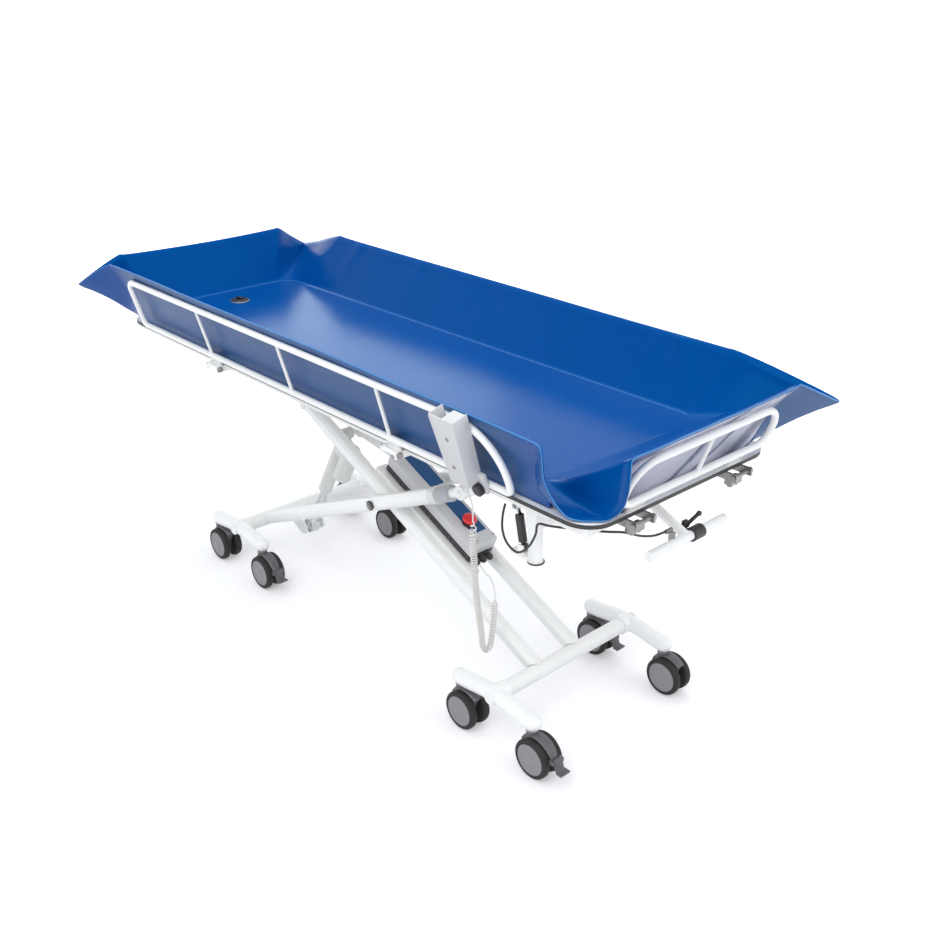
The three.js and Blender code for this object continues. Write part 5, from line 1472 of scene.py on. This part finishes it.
def make_arm_details():
    arm_way = OUTER.to_3x3() @ Vector((1, 0, 0))
    sleeves_y = (-137, 87)
    bm = bmesh.new()
    for y, way in ((-0.1622, -1), (0.1122, 1)):
        hex_bolt(bm, Vector((0.059, y, 0.4)), Vector((0, way, 0)), 0.0066, 0.0052)
    made = make_object("crossing_bolts", bm, [ZINC_STEEL], 30)
    fit_piece(made, "outer_frame")
    bm = bmesh.new()
    for along in (893, 907):
        for y in sleeves_y:
            spun(bm, [(0.0231, -0.0006), (0.0236, 0), (0.0236, 0.0012), (0.0231, 0.0018)],
                 OUTER @ P(along, y, 0), arm_way, 40)
    made = make_object("arm_sleeve_rings", bm, [BOX_GREY], 40)
    fit_piece(made, "outer_frame")
    bm = bmesh.new()
    for y in sleeves_y:
        spun(bm, [(0.0205, 0.0), (0.0213, 0.0004), (0.0213, 0.0516), (0.0206, 0.0528), (0.0188, 0.0534),
                  (0, 0.0534)], OUTER @ P(914, y, 0), arm_way, 44)
    made = make_object("arm_end_sleeves", bm, [HANDSET_GREY], 40)
    fit_piece(made, "outer_frame")
    bm = bmesh.new()
    for y, way in ((-0.1605, -1), (0.1105, 1)):
        spun(bm, [(0.0102, 0), (0.0102, 0.0019), (0.0112, 0.0024), (0.0132, 0.0022), (0.0138, 0.0012),
                  (0.0138, 0)], Vector((0.059, y, 0.4)), Vector((0, way, 0)), 40)
    made = make_object("crossing_washers", bm, [BLACK_PLASTIC], 40)
    fit_piece(made, "outer_frame")
    bm = bmesh.new()
    low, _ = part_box("subframe_crossbar")
    spun(bm, [(0.0162, 0.0), (0.0188, 0.0006), (0.0192, 0.0018), (0.0188, 0.0034), (0.0182, 0.004)],
         Vector((0.7623, -0.25, low.z + 0.0015)), UP, 40)
    made = make_object("post_foot_ring", bm, [BLACK_PLASTIC], 40)
    fit_piece(made, "subframe")


make_arm_details()

# Control box, its rail and plugs, and the stop button

BOX_START, BOX_END = ARM_LENGTH - 700, ARM_LENGTH - 335
BOX_NEAR, BOX_FAR, BOX_LOW, BOX_TOP = -67, 18, 55, 97
STOP_X, STOP_Y = ARM_LENGTH - 405, -30
PLUG_PROFILE = (
    (0, 0), (0.0105, 0), (0.0112, 0.0008), (0.0112, 0.0052), (0.0102, 0.0062), (0.0082, 0.0066),
    (0.0082, 0.012), (0.0092, 0.0128), (0.0092, 0.0206), (0.0082, 0.0216), (0.006, 0.0228),
    (0.006, 0.0256), (0.0052, 0.0262), (0, 0.0262),
)
STOP_PROFILE = (
    (0, -0.0004), (0.0078, -0.0004), (0.0078, 0.0056), (0.0145, 0.006), (0.0176, 0.0074), (0.0188, 0.0096),
    (0.019, 0.0116), (0.0184, 0.0142), (0.0166, 0.0166), (0.0132, 0.0182), (0.0086, 0.0188),
    (0.0046, 0.0189), (0, 0.0189),
)


def rounded_outline(x_low, x_high, y_low, y_high, z, radius, steps=5):
    """A rectangle with round corners, from the middle of its low edge."""
    corners = ((x_high, y_low), (x_high, y_high), (x_low, y_high), (x_low, y_low))
    middle = P((x_low + x_high) / 2, y_low, z)
    path = [middle] + [P(x, y, z) for x, y in corners] + [middle]
    return bent(path, [radius * 0.001] * 4, steps)[:-1]


def make_control_box():
    bm = bmesh.new()
    outline = [
        (BOX_NEAR + 1.5, BOX_LOW), (BOX_FAR - 1.5, BOX_LOW), (BOX_FAR, BOX_LOW + 3), (BOX_FAR, BOX_TOP - 6),
        (BOX_FAR - 6, BOX_TOP), (BOX_NEAR + 14, BOX_TOP), (BOX_NEAR, BOX_TOP - 10), (BOX_NEAR, BOX_LOW + 3),
    ]
    plate(bm, [P(BOX_START, y, z) for y, z in outline], P(0, 0, 0), P(BOX_END - BOX_START, 0, 0), 0.0016, 2)
    bmesh.ops.transform(bm, matrix=INNER, verts=bm.verts)
    made = make_object("control_box_case", bm, [BOX_GREY], 38)
    fit_piece(made, "inner_frame", ["control_box"])

    bm = bmesh.new()

    def panels():
        for x_low, x_high in ((BOX_START + 24, BOX_START + 150), (BOX_END - 158, BOX_END - 34)):
            plate(bm, rounded_outline(x_low, x_high, -42, 4, BOX_TOP, 3), P(0, 0, -0.3), P(0, 0, 0.28))
    placed(bm, INNER, panels)
    made = make_object("control_box_panels", bm, [PANEL_BLUE], 30)
    fit_piece(made, "inner_frame")

    bm = bmesh.new()

    def fixings():
        for x in (BOX_START + 12, BOX_START + 176, BOX_END - 176, BOX_END - 12):
            for y in (-47.5, 10):
                spun(bm, [(0, -0.0006), (0.0016, -0.0006), (0.0019, 0.0005), (0.0035, 0.0008), (0.0042, 0)],
                     P(x, y, BOX_TOP), UP, 20)
    placed(bm, INNER, fixings)
    made = make_object("control_box_screws", bm, [ZINC_STEEL], 40)
    fit_piece(made, "inner_frame")

    bm = bmesh.new()

    def rail():
        block(bm, P(BOX_START, BOX_NEAR + 1, 35), P(BOX_END, BOX_FAR - 1, 54.6), 0.0016)
        for along in (400, 590):
            x = ARM_LENGTH - along
            block(bm, P(x - 14, -47.3, -0.3), P(x + 14, 20.3, 37), 0.0016)
        for step in range(21):
            x = BOX_START + 12 + step * (BOX_END - BOX_START - 24) / 20
            block(bm, P(x - 6, BOX_NEAR, 38.5), P(x + 6, BOX_NEAR + 3, 51.5), 0.0012)
        for index in range(3):
            base = P(BOX_END - 0.4, 22 * index - 52, 47)
            spun(bm, PLUG_PROFILE, base, Vector((1, 0, 0)), 28)
            ribs(bm, base, "X", 10, P(13, -0.7, 8.9), P(20, 0.7, 9.7), 0.0003)
    placed(bm, INNER, rail)
    made = make_object("control_box_rail_moulding", bm, [BLACK_PLASTIC], 38)
    fit_piece(made, "inner_frame", ["control_box_rail"])

    bm = bmesh.new()

    def collar():
        spun(bm, [(0.008, 0.0058), (0.0135, 0.006), (0.0152, 0.0052), (0.0158, 0.0038), (0.016, 0.0)],
             P(STOP_X, STOP_Y, BOX_TOP), UP, 44)
    placed(bm, INNER, collar)
    made = make_object("stop_button_collar", bm, [BLACK_PLASTIC], 50)
    fit_piece(made, "inner_frame")


def make_stop_button():
    bm = bmesh.new()

    def head():
        base = P(STOP_X, STOP_Y, BOX_TOP + 6)
        spun(bm, STOP_PROFILE, base, UP, 48)
        ribs(bm, base, "Z", 12, P(18.2, -1.1, 8.6), P(19.35, 1.1, 13.6), 0.0005)
    placed(bm, INNER, head)
    made = make_object("stop_button_head", bm, [STOP_RED], 42)
    fit_piece(made, "emergency_stop", ["emergency_stop"])


make_control_box()
make_stop_button()

# Handset in its holder, with the clamp knob, on the near side rail


def make_holder():
    near = SIDE_PLANE["near"]
    bm = bmesh.new()

    def holder():
        rim_low = bent(
            [P(x, y, 45) for x, y in ((656, 16), (684, 16), (684, 175), (608, 175), (628, 16), (656, 16))],
            [0.003, 0.006, 0.006, 0.003], 5)[:-1]
        plate(bm, rim_low, P(0, 0, 0), P(0, 0, 3), 0.0009)
        block(bm, P(681, 16, 8.3), P(684, 175, 46.5), 0.0009)
        way = P(-20, 159, 0).normalized()
        turn = Matrix.Translation(P(628, 16, 0)) @ Matrix((
            (way.y, way.x, 0, 0), (-way.x, way.y, 0, 0), (0, 0, 1, 0), (0, 0, 0, 1)))
        block(bm, P(0, 0, 8.3), P(3, 160.2, 46.5), 0.0009, turn=turn)
        block(bm, P(628, 16, 25), P(648, 19, 46.5), 0.0009)
        block(bm, P(660, -14, 8.3), P(699, 34, 18.3), 0.0016)
        block(bm, P(646, 170, 10.3), P(680, 173.6, 47.4), 0.0012)
    placed(bm, near, holder)
    made = make_object("handset_holder_folded", bm, [BOX_GREY], 32)
    fit_piece(made, "side_rail_near", ["handset_holder"])

    bm = bmesh.new()

    def marks():
        spun(bm, [(0, 0.0002), (0.0030, 0.0002), (0.0032, 0.0005), (0.0046, 0.0008), (0.0052, 0)],
             P(652, 126, 48), UP, 28)
        spun(bm, [(0, 0.0018), (0.0036, 0.0016), (0.0042, 0.0009), (0.0044, 0)], P(652, 58, 48), UP, 24)
    placed(bm, near, marks)
    made = make_object("handset_holder_screws", bm, [ZINC_STEEL], 40)
    fit_piece(made, "side_rail_near")

    bm = bmesh.new()

    def knob():
        base = P(683, -1.3, 18.6)
        spun(bm, [(0, -0.007), (0.004, -0.007), (0.004, 0.0002), (0.0112, 0.0), (0.0128, 0.0009),
                  (0.0132, 0.002), (0.0132, 0.0112), (0.0122, 0.0128), (0.0098, 0.0138), (0.0052, 0.0138),
                  (0.0046, 0.0132), (0, 0.0131)], base, UP, 48)
        ribs(bm, base, "Z", 12, P(11.4, -2.1, 1.0), P(14.85, 2.1, 12.2), 0.0011, 2)
    placed(bm, near, knob)
    made = make_object("clamp_knob_head", bm, [BLACK_PLASTIC], 40)
    fit_piece(made, "clamp_knob", ["clamp_knob"])


def make_handset():
    near = SIDE_PLANE["near"]
    bm = bmesh.new()

    def shell():
        plate(bm, rounded_outline(633.8, 680.6, 24, 163, 19, 8, 7), P(0, 0, 0), P(0, 0, 25.5), 0.0034, 4)
        rounded_bar(bm, P(653.8, 26, 31.8), P(653.8, 8.4, 31.8), 0.006, 20, 0.0016)
        for step in range(4):
            y = 20.4 - 3.2 * step
            rounded_bar(bm, P(653.8, y, 31.8), P(653.8, y - 1.4, 31.8), 0.0064, 20, 0.0005)
    placed(bm, near, shell)
    made = make_object("handset_shell", bm, [HANDSET_GREY], 40)
    fit_piece(made, "side_rail_near", ["handset"])

    bm = bmesh.new()

    def keys():
        block(bm, P(638, 60, 18.4), P(676.4, 154, 19.6), 0.0005, 1)
    placed(bm, near, keys)
    made = make_object("handset_key_field", bm, [HUB_GREY], 40)
    fit_piece(made, "side_rail_near")

    bm = bmesh.new()

    def buttons():
        for column in (647.4, 667.0):
            for row in (72, 92, 112, 132):
                outline = rounded_outline(column - 7, column + 7, row - 6, row + 6, 16.8, 4)
                plate(bm, outline, P(0, 0, 0), P(0, 0, 2), 0.0006)
    placed(bm, near, buttons)
    made = make_object("handset_buttons", bm, [PAD_GREY], 40)
    fit_piece(made, "side_rail_near")


make_holder()
make_handset()

# T-handle with its black lever clamp, and the lever itself

HANDLE_X, HANDLE_Z, HANDLE_RADIUS = 0.9616, 0.6068, 0.0125


def off_handle(face):
    return math.hypot(face.center.x - HANDLE_X, face.center.z - HANDLE_Z) > HANDLE_RADIUS


def on_clamp(face):
    """The black lever clamp on the handle's bar."""
    middle = face.center
    stands_out = off_handle(face) or abs(face.normal.y) > 0.9
    return 0.0105 < middle.y < 0.0475 and middle.x > 0.925 and stands_out


def on_adjuster(face):
    """The steel adjuster that holds the release cable."""
    middle = face.center
    return -0.058 < middle.y < -0.030 and middle.x > 0.92 and off_handle(face)


t_handle = smooth_node("t_handle", WHITE_PAINT, "deck", 34, 0.0006)
t_handle.data.materials.append(BLACK_PLASTIC)
t_handle.data.materials.append(ZINC_STEEL)
tint(t_handle, 1, on_clamp)
tint(t_handle, 2, on_adjuster)
smooth_node("release_lever", BLACK_PLASTIC, "release_lever", 36, 0.0006)

# Lift actuator and gas spring

smooth_node("actuator_body", ACTUATOR_GREY, "actuator_body", 36, 0.001)
smooth_node("actuator_rod", BRIGHT_STEEL, "actuator_rod", 36)
smooth_node("gas_spring_cylinder", BLACK_PLASTIC, "gas_spring_cylinder", 36, 0.0006)
smooth_node("gas_spring_rod", BRIGHT_STEEL, "gas_spring_rod", 36)
